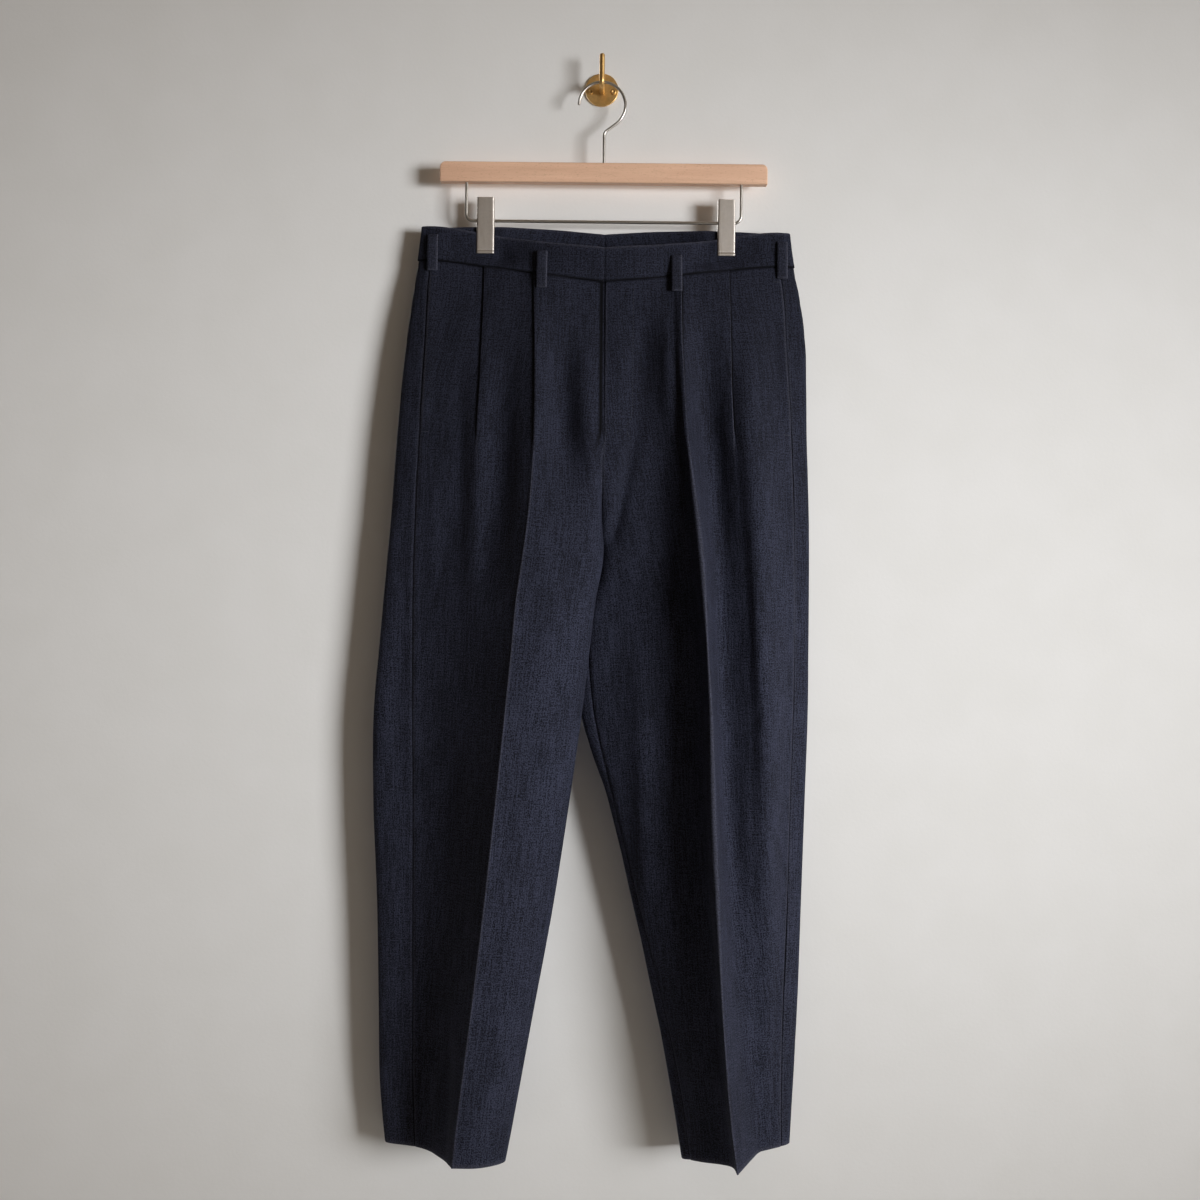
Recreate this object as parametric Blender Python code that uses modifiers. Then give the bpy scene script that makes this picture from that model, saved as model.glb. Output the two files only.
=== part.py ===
"""Pleated denim trousers clipped to a wooden hanger, which hangs on a brass wall hook.

The origin is the middle of the wall plate's back face. X runs to the right, Z up, and the
wall is the plane y = 0, so the whole object lies at negative y. The tables are in
millimetres: "out" is the distance from the trousers' centre line, sideways, and "depth" is
the distance from the wall. Left and right are those of someone who faces the wall.
"""

import math

import bmesh
import bpy
import numpy as np

MM = 0.001

# Trousers, in millimetres
CENTRE_X = 5.0
CLOTH = 1.2
BAND_THICK = 2.4
SEAM_GAP = 0.3
WAIST_GAP = 0.7
LAYER_PITCH = 1.8
FOLD_MARGIN = 6.0
FOLD_START_Z = -225.0
TURN_EASE = 0.2
HEMMED = 1.5
WRAP = 70.0
LAYER_FADE = 32.0
TANGENT_STEP = 3.0
CROTCH_Z = -533.0
WAIST_Z = -206.0
HEM_Z = -1206.0

# Hanger and wall hook, in millimetres
HANGER_DEPTH = 24.0
BAR_X = 3.1
BAR_LENGTH, BAR_HEIGHT, BAR_THICK = 373.0, 22.7, 13.0
BAR_TOP_Z = -91.8
FRAME_X = 3.5
FRAME_HALF = 156.7
FRAME_WIRE = 3.5
FRAME_Z = -158.0
FRAME_BEND = 8.0
CLIP_OFFSETS = {"left": -136.1, "right": 138.6}
CLIP_WIDTH, CLIP_HEIGHT, CLIP_SHEET = 20.4, 64.5, 1.2
CLIP_TOP_Z = -131.5
HOOK_WIRE = 3.2
HOOK_RADIUS = 26.5
STEM_X = 3.0
PLATE_RADIUS, PLATE_THICK = 19.0, 2.5
ARM_RADIUS = 3.0
ARM_Z = -3.0
ARM_BEND = 6.0
ARM_TIP_Z = 32.6
ARM_RISER_DEPTH = 31.0
SCREW_RADIUS, SCREW_HEAD, SCREW_OFFSET, SCREW_Z = 3.2, 1.4, 13.3, -2.5

BAR_CORNER, BAR_EDGE = 6.5, 0.8
CLIP_GAP, CLIP_SPLIT, CLIP_WALL = 0.6, 0.3, 33.5
CLIP_NOTCH, CLIP_TUBE, CLIP_INSET = 2.8, 14.0, 0.3
HOOK_START, HOOK_END, STEM_BEND = 177.0, -53.0, 8.0
SCREW_SLOT = 0.9
METAL_EDGE = 0.5
CUTTER_REACH = 4.0

# Strips sewn behind and on the panels, in millimetres
FACING = 1.0
FLY_ROWS, FLY_COLUMNS = 6, 3
POCKET_ROWS = 6
LOOP_WIDTH, LOOP_CLOTH, LOOP_LIFT, LOOP_LIFT_BACK, LOOP_ROWS = 11.0, 1.2, 3.2, 2.0, 9
LOOP_SEAT, LOOP_BOW, LOOP_REACH = 0.5, 0.6, 3.0
LOOPS = (
    ("front_left", -65.5, -196.4, -239.0),
    ("front_right", 86.5, -199.3, -241.5),
    ("side_left", -190.6, -175.6, -216.4),
    ("side_right", 207.0, -180.0, -222.0),
    ("back", 5.0, -176.0, -218.0),
)

# Finishes: colour, roughness, metallic
DENIM = ((0.012, 0.014, 0.03), 0.9)
WOOD = ((0.62, 0.42, 0.27), 0.55)
STEEL = ((0.55, 0.53, 0.50), 0.3, 1.0)
BRASS = ((0.50, 0.34, 0.12), 0.35, 1.0)

# Rows of faces down the cloth, from the waist seam to the hem
ROW_HEIGHTS = (
    WAIST_Z, -232.0, -262.0, -300.0, -340.0, -380.0, -410.0, -440.0, -470.0, -500.0, -520.0,
    CROTCH_Z, -560.0, -590.0, -650.0, -710.0, -817.0, -930.0, -1043.0, -1156.0, HEM_Z,
)


def table(columns, rows):
    """Named columns, each an array with one number a row."""
    return dict(zip(columns.split(), np.array(rows, float).T))


# One row for each section of a leg, from the waist seam to the hem. edge is the outline's
# edge, seam the side seam, swell the soft swell beside it, second the second pleat, hollow
# the foot of the crease's outer flank, and crease the main pleat and leg crease.
OUTER_COLUMNS = (
    "z edge seam seam_depth swell swell_depth second second_depth"
    " hollow hollow_depth crease crease_depth")
OUTER = {
    "left": table(OUTER_COLUMNS, (
        (-206, 211.7, 198.9, 28, 167, 29.7, 135.5, 32, 110, 37.5, 78.5, 46),
        (-250, 217.4, 200.0, 36, 167, 40.8, 135.0, 45, 112, 50.5, 77.2, 60),
        (-300, 223.4, 201.5, 42, 167, 48.5, 135.9, 54, 114, 59, 75.9, 72),
        (-350, 228.0, 203.7, 46, 168, 53.5, 137.0, 62, 115, 66, 74.9, 83),
        (-400, 231.8, 205.8, 49, 170, 58.5, 138.6, 69.5, 117, 73.5, 74.8, 94),
        (-450, 234.8, 208.0, 51, 172, 62, 140.0, 74.5, 119, 79.5, 76.5, 104),
        (-500, 237.8, 209.6, 53, 174, 63.5, 143.0, 77.5, 121, 84.5, 80.0, 113),
        (-533, 240.4, 210.4, 54, 176, 65, 145.0, 79.5, 121, 89, 83.6, 118),
        (-590, 245.0, 210.8, 55, 178, 67, 150.0, 81.5, 121, 100, 91.0, 124),
        (-650, 249.6, 210.4, 56, 181, 68, 155.0, 82.5, 124, 104.5, 96.0, 128),
        (-704, 253.8, 209.9, 57, 183, 68.5, 159.0, 82, 128, 106, 100.9, 130),
        (-817, 253.8, 208.2, 57, 184, 68, 163.0, 80, 137, 104.5, 111.7, 130),
        (-930, 248.6, 207.2, 56, 186, 66.5, 169.0, 78, 146, 102, 123.2, 127),
        (-1043, 245.8, 206.2, 54, 188, 62.5, 174.0, 73.5, 155, 97, 136.1, 122),
        (-1156, 242.5, 205.0, 50, 190, 58, 180.0, 67.5, 165, 90, 150.0, 115),
        (-1206, 237.5, 202.9, 48, 191, 55.2, 182.0, 64, 169, 86, 155.5, 110),
    )),
    "right": table(OUTER_COLUMNS, (
        (-206, 215.3, 199.7, 28, 168, 30, 140.5, 32, 112, 38.5, 86.0, 45),
        (-250, 223.2, 203.9, 36, 166, 45, 140.8, 47.5, 111, 52, 85.9, 60),
        (-300, 228.7, 206.3, 42, 164, 57, 141.6, 57, 111, 56.5, 86.4, 73),
        (-350, 229.7, 209.2, 46, 161, 69, 143.0, 63.5, 113, 57.5, 88.5, 84),
        (-400, 230.3, 212.1, 49, 162, 77.5, 145.3, 71.5, 115, 61, 91.7, 95),
        (-450, 232.0, 214.2, 51, 167, 83, 148.3, 76, 121, 66, 97.5, 104),
        (-500, 233.5, 215.8, 53, 171, 87, 152.0, 78.5, 127, 67.5, 103.6, 112),
        (-533, 234.0, 216.6, 54, 172, 89, 155.0, 80, 129.5, 70, 107.2, 117),
        (-590, 234.3, 217.6, 55, 174, 92, 160.0, 83, 131.5, 72, 111.7, 124),
        (-650, 234.3, 217.4, 56, 177, 94, 163.0, 85, 133.5, 74.5, 115.5, 128),
        (-704, 234.2, 216.8, 57, 180, 93.5, 165.0, 86, 136, 76.5, 118.7, 130),
        (-817, 231.5, 214.1, 57, 184, 90, 167.0, 85.5, 142, 79.5, 122.9, 130),
        (-930, 228.7, 212.0, 56, 187, 82, 170.0, 82, 150, 82, 129.3, 127),
        (-1043, 225.9, 208.9, 54, 190, 69.5, 174.0, 75, 159, 84, 136.8, 122),
        (-1156, 221.6, 208.3, 50, 194, 59.5, 179.0, 68, 169, 79, 147.8, 115),
        (-1206, 219.5, 209.2, 48, 197, 55.3, 182.0, 63.5, 175.5, 73.5, 155.0, 110),
    )),
}

# The inner side of each leg: bend is the front's last soft corner, inseam the inseam below
# the crotch, and tuck the back's first soft corner. facet says how far the facet beside the
# crease's inner flank stands off the straight line from crease to bend.
INNER_COLUMNS = "z bend bend_depth facet inseam inseam_depth tuck tuck_depth"
INNER = {
    "left": table(INNER_COLUMNS, (
        (-206, 30, 50, 1, 0, 50, 30, 8),
        (-250, 29, 55.3, -1, 0, 50, 30, 6),
        (-300, 26, 62, -4, 0, 50, 30, 5),
        (-350, 22, 71.5, -9, 0, 50, 28, 5),
        (-400, 17, 80.5, -13, 0, 50, 24, 6),
        (-450, 10, 86.5, -7, 0, 50, 20, 9),
        (-500, 4, 93, 3, 0, 50, 16, 16),
        (-533, 1, 95, 8, 1.0, 47, 14, 28),
        (-590, 7.5, 94, 11.4, 14, 58, 28, 30),
        (-650, 13.5, 92, 12, 23, 60, 38, 34),
        (-704, 19.2, 90, 12, 30, 60, 44, 35),
        (-817, 34, 88, 12, 44, 60, 56, 35),
        (-930, 50.5, 86, 12, 60, 60, 71, 35),
        (-1043, 70.3, 84, 11.8, 79, 60, 88, 35),
        (-1156, 90.6, 82, 11, 98, 58, 106, 34),
        (-1206, 100, 80, 10.6, 107, 56, 114, 32),
    )),
    "right": table(INNER_COLUMNS, (
        (-206, 30, 50, -2.7, 0, 50, 30, 8),
        (-250, 36, 55.3, -4, 0, 50, 30, 6),
        (-300, 40, 60, -5, 0, 50, 30, 5),
        (-350, 40, 66.5, -6, 0, 50, 28, 5),
        (-400, 38, 72, -7, 0, 50, 24, 6),
        (-450, 33, 74, -10, 0, 50, 20, 9),
        (-500, 22, 71, -14, 0, 50, 16, 16),
        (-533, 14, 67, -17, 1.0, 47, 6, 36),
        (-590, 25, 65, -20, -8, 53, -13, 45),
        (-650, 28, 67, -21, -13, 53, -22, 45),
        (-704, 31, 69, -21, -8.5, 53, -23.5, 44),
        (-817, 47, 70, -21, 17.5, 52, 11.5, 44),
        (-930, 69, 70, -21, 47, 52, 39.5, 44),
        (-1043, 92, 68, -21, 75, 52, 65.3, 43),
        (-1156, 112, 64, -20, 100, 51, 89.5, 42),
        (-1206, 118, 60, -19, 107, 50, 98.2, 41),
    )),
}

# The centre-front and centre-back seams down to the crotch; turn goes from 0, where the
# panels meet flat, to 1, where both turn back between the legs.
RISE = table("z front_depth back_depth turn", (
    (-206, 50, 8, 0),
    (-250, 54.5, 6, 0),
    (-300, 60, 5, 0),
    (-350, 68, 5, 0),
    (-400, 77, 6, 0),
    (-430, 82, 8, 0),
    (-450, 82, 10, 0.15),
    (-480, 75, 16, 0.55),
    (-500, 65, 23, 0.85),
    (-520, 54.5, 34, 1),
    (-533, 47.2, 46.8, 1),
))

# The facet beside the crease's inner flank lies this share of the way from crease to bend
FACET_AT = {"left": 0.55, "right": 0.13}

# The outline's edge lies this share of the side seam's depth from the wall, and a bit more.
# From there the back turns round to the wall, past two soft points beside the edge.
EDGE_SHARE, EDGE_DEPTH = 0.69, 4.7
ROUND_OUT, ROUND_SHARE, ROUND_PULL = 9.0, 0.45, 4.0
FLANK_OUT, FLANK_DEPTH = 45.0, 3.0
CROTCH_RUN = 20.0

# The back lies this far from the wall, and where the clips hold it, this much further
BACK_DEPTH, CLIP_PULL, CLIP_PULL_END = 4.0, 12.5, -310.0

# Faces across the panels: on the front from the side seam to the second pleat, on to the
# crease, and on to the centre; on the back round the side, and on to the centre
FRONT_FACES = (4, 4, 5)
BACK_FACES = (5, 7)

# The heights between which the waist seam's slope and the hem's slope fade into level rows
SEAM_LEVEL_Z, HEM_LEVEL_Z = -330.0, -1043.0

# Each pleat: how deep it is folded, the height where the fold has run out, and the height
# where the cloth lies smooth below it.
PLEATS = table("folded run_out smooth_z", (
    (9.0, -380.0, -445.0),
    (12.0, -400.0, -445.0),
))

# The seam under the waistband and the hem, as heights along "out"
WAIST_SEAM = table("out front_z back_z", (
    (0, -231.5, -206.8),
    (62, -224.5, -206.3),
    (125, -215.0, -206.1),
    (190, -206.8, -206.0),
    (225, -206.0, -206.0),
))
HEM = {
    "left": table("out z", ((95, -1204.0), (155, -1208.0), (240, -1205.0))),
    "right": table("out z", ((95, -1213.5), (155, -1212.0), (185, -1203.5), (225, -1201.0))),
}

# The waistband's top edge, from the centre front round the side to the centre back
BAND_TOP = table("out depth", (
    (0, 48), (30, 46.5), (78, 37), (114, 25.6), (126, 25.5), (158, 25.5), (196, 25.4),
    (208.5, 21.8), (196, 18.2), (158, 22.5), (126, 22.5), (114, 22.3), (76, 12), (28, 8.6), (0, 9.2),
))
BAND_TOP_HEIGHT = table("out front_z back_z", (
    (0, -193.0, -169.5),
    (62, -187.0, -165.5),
    (122, -177.5, -166.5),
    (190, -167.8, -167.6),
    (225, -167.0, -167.0),
))
SEAM_INDEX = 6
BAND_TOP_REACH = {"left": 208.5, "right": 210.7}
PINCH_AT, PINCH_REACH = 136.0, 36.0
PINCH_SHARE_FRONT, PINCH_SHARE_BACK = 0.38, 0.2
# Columns on the front, columns round the side as lengths past the side seam along the lower
# edge and along the top, and columns on the back
BAND_FRONT = 14
BAND_TURN_LOW = (7, 13, 18, 24, 36)
BAND_TURN_TOP = (6, 11.5, 16.5, 22, 34)
BAND_BACK = 8
BAND_SHARES = (0.0, PINCH_SHARE_BACK, PINCH_SHARE_FRONT, 0.7, 1.0)
# The hips hang a little lower on the right
WAIST_TILT = 0.0085


def follow(at, x, y):
    """A smooth curve through the points (x, y), x ascending: cubic pieces whose slopes are
    those of parabolas through neighbouring points."""
    slope = np.gradient(y, x)
    i = np.clip(np.searchsorted(x, at, side="right") - 1, 0, len(x) - 2)
    width = x[i + 1] - x[i]
    t = (at - x[i]) / width
    ends = (1 + 2 * t) * (1 - t) ** 2 * y[i] + t * t * (3 - 2 * t) * y[i + 1]
    return ends + width * (t * (1 - t) ** 2 * slope[i] - t * t * (1 - t) * slope[i + 1])


def read(source, column, z):
    """A table's column at height z."""
    return float(follow(z, source["z"][::-1], source[column][::-1]))


def path_through(points, per_span=16):
    """Points along a smooth path through the given ones, and the index of each given one.
    The spacing of its parameter is the square root of each chord, which keeps it from
    overshooting."""
    points = np.array(points, float)
    chords = np.linalg.norm(np.diff(points, axis=0), axis=1)
    knots = np.concatenate([[0.0], np.cumsum(np.sqrt(chords))])
    share = np.linspace(0, 1, per_span, endpoint=False)
    at = np.append((knots[:-1, None] + np.diff(knots)[:, None] * share).ravel(), knots[-1])
    path = np.stack([follow(at, knots, points[:, 0]), follow(at, knots, points[:, 1])], axis=1)
    return path, np.arange(len(points)) * per_span


def lengths_along(path):
    steps = np.linalg.norm(np.diff(path, axis=0), axis=1)
    return np.concatenate([[0.0], np.cumsum(steps)])


def point_at(path, lengths, at):
    return np.stack([np.interp(at, lengths, path[:, k]) for k in (0, 1)], axis=-1)


def ease(value, start, end):
    """0 at start and 1 at end, with no corner at either."""
    t = np.clip((value - start) / (end - start), 0, 1)
    return t * t * (3 - 2 * t)


def half_gap(turn):
    """How far a panel's edge stays from the centre line: half the seam gap where the panels
    meet flat, and half a wall more where they lie face to face."""
    return SEAM_GAP / 2 + (CLOTH / 2 + TURN_EASE) * turn


def key_points(side, z):
    """The named points of one leg's section at height z, as (out, depth)."""
    outer, inner = OUTER[side], INNER[side]
    seam_depth = read(outer, "seam_depth", z)
    crease = np.array([read(outer, "crease", z), read(outer, "crease_depth", z)])
    bend = np.array([read(inner, "bend", z), read(inner, "bend_depth", z)])
    tuck = np.array([read(inner, "tuck", z), read(inner, "tuck_depth", z)])
    edge = np.array([read(outer, "edge", z), EDGE_SHARE * seam_depth + EDGE_DEPTH])
    facet = crease + FACET_AT[side] * (bend - crease) + (0, read(inner, "facet", z))
    pulled = ease(z, CLIP_PULL_END, WAIST_Z)
    back_depth = BACK_DEPTH + CLIP_PULL * pulled
    points = {
        "crease": crease, "bend": bend, "tuck": tuck, "edge": edge, "facet": facet,
        "swell": np.array([read(outer, "swell", z), read(outer, "swell_depth", z)]),
        "hollow": np.array([read(outer, "hollow", z), read(outer, "hollow_depth", z)]),
        "back_crease": np.array([0.5 * (edge[0] + max(tuck[0], 0)), back_depth]),
        "seam": np.array([read(outer, "seam", z), seam_depth]),
        "second": np.array([read(outer, "second", z), read(outer, "second_depth", z)]),
        "round": np.array([edge[0] - ROUND_OUT, ROUND_SHARE * edge[1] + ROUND_PULL * pulled]),
        "flank": np.array([edge[0] - FLANK_OUT, back_depth + FLANK_DEPTH]),
    }
    if z > CROTCH_Z:
        turn = read(RISE, "turn", z)
        front = np.array([half_gap(turn), read(RISE, "front_depth", z)])
        back = np.array([half_gap(turn), read(RISE, "back_depth", z)])
        points["front_end"], points["back_end"] = front, back
        points["past_front"] = (1 - turn) * bend * (-1, 1) + turn * (front - (0, CROTCH_RUN))
        points["past_back"] = (1 - turn) * tuck * (-1, 1) + turn * (back + (0, CROTCH_RUN))
    else:
        inseam = np.array([read(inner, "inseam", z), read(inner, "inseam_depth", z)])
        points["front_end"], points["back_end"] = inseam, inseam
        points["past_front"], points["past_back"] = tuck, bend
    return points


def front_path(side, z):
    """The front's section without its pleats, from the side seam to the fly or the inseam,
    with the lengths along it of the second pleat and the crease."""
    k = key_points(side, z)
    names = ("round", "edge", "seam", "swell", "second", "hollow", "crease")
    outer, marks = path_through([k[name] for name in names])
    names = ("crease", "facet", "bend", "front_end", "past_front")
    inner, ends = path_through([k[name] for name in names])
    path = np.vstack([outer[marks[2]:], inner[1:ends[3] + 1]])
    lengths = lengths_along(path)
    return path, lengths, lengths[marks[4] - marks[2]], lengths[marks[6] - marks[2]]


def back_path(side, z):
    """The back's section, from the side seam round the outline's edge to the centre back or
    the inseam."""
    k = key_points(side, z)
    names = ("swell", "seam", "edge", "round", "flank", "back_crease")
    outer, marks = path_through([k[name] for name in names])
    names = ("back_crease", "tuck", "back_end", "past_back")
    inner, ends = path_through([k[name] for name in names])
    path = np.vstack([outer[marks[1]:], inner[1:ends[2] + 1]])
    return path, lengths_along(path)


def fold_columns(z, folded, run_out, smooth_z):
    """Nine columns across a pleat: how far each lies along the section from the fold's edge,
    and how far it stands off. The cloth runs in under the pleat, turns back out to the
    edge, and turns again to lie on top."""
    under = folded * (1 - ease(z, FOLD_START_Z, run_out))
    opened = ease(z, run_out, smooth_z)
    turn = LAYER_PITCH / 2
    last = under + FOLD_MARGIN
    shut_at = np.array([-FOLD_MARGIN, 0, under, under + turn, under, 0, -turn, 0, last])
    shut_off = turn * np.array([0, 0, 0, 1, 2, 2, 3, 4, 4])
    open_at = FOLD_MARGIN * np.array([-1, -0.85, -0.7, -0.55, -0.4, -0.2, 0, 0.5, 1])
    return (1 - opened) * shut_at + opened * open_at, (1 - opened) * shut_off


def shifted(path, lengths, at, off):
    """Points at the lengths along a path, moved to its left: away from the wall where the
    path runs outward, and towards it where the path runs inward."""
    ahead = point_at(path, lengths, at + TANGENT_STEP)
    along = ahead - point_at(path, lengths, at - TANGENT_STEP)
    left = np.stack([-along[:, 1], along[:, 0]], axis=1)
    left /= np.linalg.norm(along, axis=1)[:, None]
    return point_at(path, lengths, at) + np.reshape(off, (-1, 1)) * left


def front_section(side, z):
    """The front's columns at height z as (out, depth), pleats included."""
    path, lengths, second_at, crease_at = front_path(side, z)
    second, second_off = fold_columns(z, *(PLEATS[name][0] for name in PLEATS))
    crease, crease_off = fold_columns(z, *(PLEATS[name][1] for name in PLEATS))
    second = second + second_at
    crease = crease + crease_at
    first = SEAM_GAP / 2
    last = lengths[-1] - (0.0 if z > CROTCH_Z else SEAM_GAP / 2)
    outer = np.linspace(first + HEMMED, second[0], FRONT_FACES[0] + 1)[:-1]
    middle = np.linspace(second[-1], crease[0], FRONT_FACES[1] + 1)[1:-1]
    inner = np.linspace(crease[-1], last - HEMMED, FRONT_FACES[2] + 1)[1:]
    middle_off = second_off[-1] * (1 - ease(middle, second[-1], second[-1] + LAYER_FADE))
    inner_off = crease_off[-1] * (1 - ease(inner, crease[-1], crease[-1] + LAYER_FADE))
    at = np.concatenate([[first], outer, second, middle, crease, inner, [last]])
    off = np.concatenate([
        [0.0], np.zeros(len(outer)), second_off, middle_off, crease_off, inner_off, [0.0]])
    return shifted(path, lengths, at, -off)


def back_section(side, z):
    """The back's columns at height z as (out, depth)."""
    path, lengths = back_path(side, z)
    first = SEAM_GAP / 2
    last = lengths[-1] - (0.0 if z > CROTCH_Z else SEAM_GAP / 2)
    round_side = np.linspace(first + HEMMED, WRAP, BACK_FACES[0] + 1)[:-1]
    across = np.linspace(WRAP, last - HEMMED, BACK_FACES[1] + 1)
    return point_at(path, lengths, np.concatenate([[first], round_side, across, [last]]))


def along_edge(side, out, source, column):
    """An edge's height at a distance out, with the tilt of the waist."""
    tilt = WAIST_TILT if side == "left" else -WAIST_TILT
    within = np.clip(out, source["out"][0], source["out"][-1])
    return follow(within, source["out"], source[column]) + tilt * out


def seam_height(side, out, z, column):
    """How much a row lies above or below its section because the waist seam isn't level."""
    return (along_edge(side, out, WAIST_SEAM, column) - WAIST_Z) * (1 - ease(z, WAIST_Z, SEAM_LEVEL_Z))


def hem_height(side, out, z):
    """How much a row lies above or below its section because the hem isn't level."""
    drop = np.interp(out, HEM[side]["out"], HEM[side]["z"]) - HEM_Z
    return drop * ease(z, HEM_LEVEL_Z, HEM_Z)


def band_columns(turn_lengths, lengths, seam_at):
    """Lengths along a waistband's path: even steps across the front, short ones round the
    side, and even ones across the back."""
    front = np.linspace(SEAM_GAP / 2, seam_at, BAND_FRONT)
    side = seam_at + np.array(turn_lengths)
    back = np.linspace(side[-1], lengths[-1] - SEAM_GAP / 2, BAND_BACK + 1)[1:]
    return np.concatenate([front, side, back])


def band_bottom(side):
    """The path that the waistband's lower edge shares with the panels, on their outer side."""
    front = front_path(side, WAIST_Z)[0][::-1]
    path = np.vstack([front, back_path(side, WAIST_Z)[0][1:]])
    lengths = lengths_along(path)
    at = band_columns(BAND_TURN_LOW, lengths, lengths[len(front) - 1])
    return shifted(path, lengths, at, CLOTH / 2)


def band_top(side):
    """The path of the waistband's top edge."""
    points = np.stack([BAND_TOP["out"], BAND_TOP["depth"]], axis=1)
    points[:, 0] *= BAND_TOP_REACH[side] / BAND_TOP_REACH["left"]
    path, marks = path_through(points)
    lengths = lengths_along(path)
    at = band_columns(BAND_TURN_TOP, lengths, lengths[marks[SEAM_INDEX]])
    return point_at(path, lengths, at)


def band_grid(side):
    """The waistband from its lower edge to its top. Where a clip holds it, it keeps to the top
    path further down."""
    low, high = band_bottom(side), band_top(side)
    pinched = np.exp(-((high[:, 0] - PINCH_AT) / PINCH_REACH) ** 4)
    on_front = np.arange(len(low)) < BAND_FRONT
    rows = []
    for share in BAND_SHARES:
        early = ease(share, 0, np.where(on_front, PINCH_SHARE_FRONT, PINCH_SHARE_BACK))
        reach = (share * (1 - pinched) + early * pinched)[:, None]
        out, depth = (low + reach * (high - low)).T
        bottom, top = [
            np.where(on_front, along_edge(side, out, source, "front_z"),
                     along_edge(side, out, source, "back_z"))
            for source in (WAIST_SEAM, BAND_TOP_HEIGHT)]
        bottom = bottom + WAIST_GAP / 2
        rows.append(in_space(side, out, depth, bottom + share * (top - bottom)))
    return np.array(rows)


def in_space(side, out, depth, z):
    """(out, depth, z) in millimetres to a place in metres."""
    sign = -1.0 if side == "left" else 1.0
    return np.stack([CENTRE_X + sign * out, -depth, z], axis=-1) * MM


def panel_grid(side, section, column):
    """A panel's points, a row for each height and a column for each place in its section."""
    rows = []
    for z in ROW_HEIGHTS:
        out, depth = section(side, z).T
        height = z + seam_height(side, out, z, column) + hem_height(side, out, z)
        if z == WAIST_Z:
            height = height - WAIST_GAP / 2
        rows.append(in_space(side, out, depth, height))
    return np.array(rows)


def grid_normals(grid):
    """A grid's unit normals, from its neighbouring points."""
    across, down = np.gradient(grid, axis=1), np.gradient(grid, axis=0)
    normal = np.cross(down, across)
    return normal / np.linalg.norm(normal, axis=-1)[..., None]


def material(name, colour, roughness, metallic=0.0):
    made = bpy.data.materials.new(name)
    made.use_nodes = True
    shader = made.node_tree.nodes["Principled BSDF"]
    shader.inputs["Base Color"].default_value = (*colour, 1.0)
    shader.inputs["Roughness"].default_value = roughness
    shader.inputs["Metallic"].default_value = metallic
    return made


def finish(obj, finish_of):
    """Puts a piece among the parts, with a material of its own."""
    for collection in list(obj.users_collection):
        collection.objects.unlink(obj)
    PARTS.objects.link(obj)
    obj.data.materials.append(material(obj.name, *finish_of))
    return obj


def cloth_shell(name, grid, thickness):
    """A wall of cloth: the grid's open surface with Solidify, half to each side."""
    rows, columns = grid.shape[:2]
    index = np.arange(rows * columns).reshape(rows, columns)
    faces = np.stack([index[:-1, :-1], index[1:, :-1], index[1:, 1:], index[:-1, 1:]], axis=-1)
    mesh = bpy.data.meshes.new(name)
    mesh.from_pydata(grid.reshape(-1, 3).tolist(), [], faces.reshape(-1, 4).tolist())
    mesh.shade_smooth()
    obj = finish(bpy.data.objects.new(name, mesh), DENIM)
    wall = obj.modifiers.new("Wall", "SOLIDIFY")
    wall.thickness = thickness * MM
    wall.offset = 0.0
    wall.use_even_offset = True
    return obj


def block(name, size, centre, finish_of, bevel=0.0):
    """A box of a size at a place, both (x, y, z) in millimetres, its edges rounded."""
    mesh = bpy.data.meshes.new(name)
    shape = bmesh.new()
    bmesh.ops.create_cube(shape, size=1.0)
    bmesh.ops.scale(shape, vec=[side * MM for side in size], verts=shape.verts)
    shape.to_mesh(mesh)
    shape.free()
    obj = finish(bpy.data.objects.new(name, mesh), finish_of)
    obj.location = [at * MM for at in centre]
    if bevel:
        add_bevel(obj, bevel)
    return obj


def add_bevel(obj, width, segments=2):
    rounded = obj.modifiers.new("Edges", "BEVEL")
    rounded.width = width * MM
    rounded.segments = segments
    rounded.limit_method = "ANGLE"


def disc(name, radius, length, centre, axis, finish_of, bevel=0.0, segments=32):
    """A cylinder about an axis, X or Y, in millimetres."""
    mesh = bpy.data.meshes.new(name)
    shape = bmesh.new()
    bmesh.ops.create_cone(
        shape, cap_ends=True, segments=segments, radius1=radius * MM, radius2=radius * MM,
        depth=length * MM)
    shape.to_mesh(mesh)
    shape.free()
    obj = finish(bpy.data.objects.new(name, mesh), finish_of)
    obj.location = [at * MM for at in centre]
    obj.rotation_euler = (math.pi / 2, 0, 0) if axis == "Y" else (0, math.pi / 2, 0)
    if bevel:
        add_bevel(obj, bevel)
    mesh.shade_smooth()
    mesh.set_sharp_from_angle(angle=math.radians(40))
    return obj


def combine(obj, other, operation):
    """Cuts another piece's shape out of an object, or joins it on, and hides the piece."""
    PARTS.objects.unlink(other)
    CUTTERS.objects.link(other)
    other.hide_render = True
    other.display_type = "WIRE"
    combined = obj.modifiers.new(operation.title(), "BOOLEAN")
    combined.operation = operation
    combined.object = other


def wire(name, points, radius, finish_of, resolution=2):
    """A round wire or rod along points in millimetres, with its ends closed."""
    curve = bpy.data.curves.new(name, "CURVE")
    curve.dimensions = "3D"
    curve.bevel_depth = radius * MM
    curve.bevel_resolution = resolution
    curve.use_fill_caps = True
    line = curve.splines.new("POLY")
    line.points.add(len(points) - 1)
    for point, place in zip(line.points, points):
        point.co = (place[0] * MM, place[1] * MM, place[2] * MM, 1.0)
    return finish(bpy.data.objects.new(name, curve), finish_of)


def arc(centre, radius, start, end, steps):
    """Points (across, up) along an arc, its angles in degrees."""
    angles = np.radians(np.linspace(start, end, steps + 1))
    return np.stack([centre[0] + radius * np.cos(angles), centre[1] + radius * np.sin(angles)], axis=1)


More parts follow.
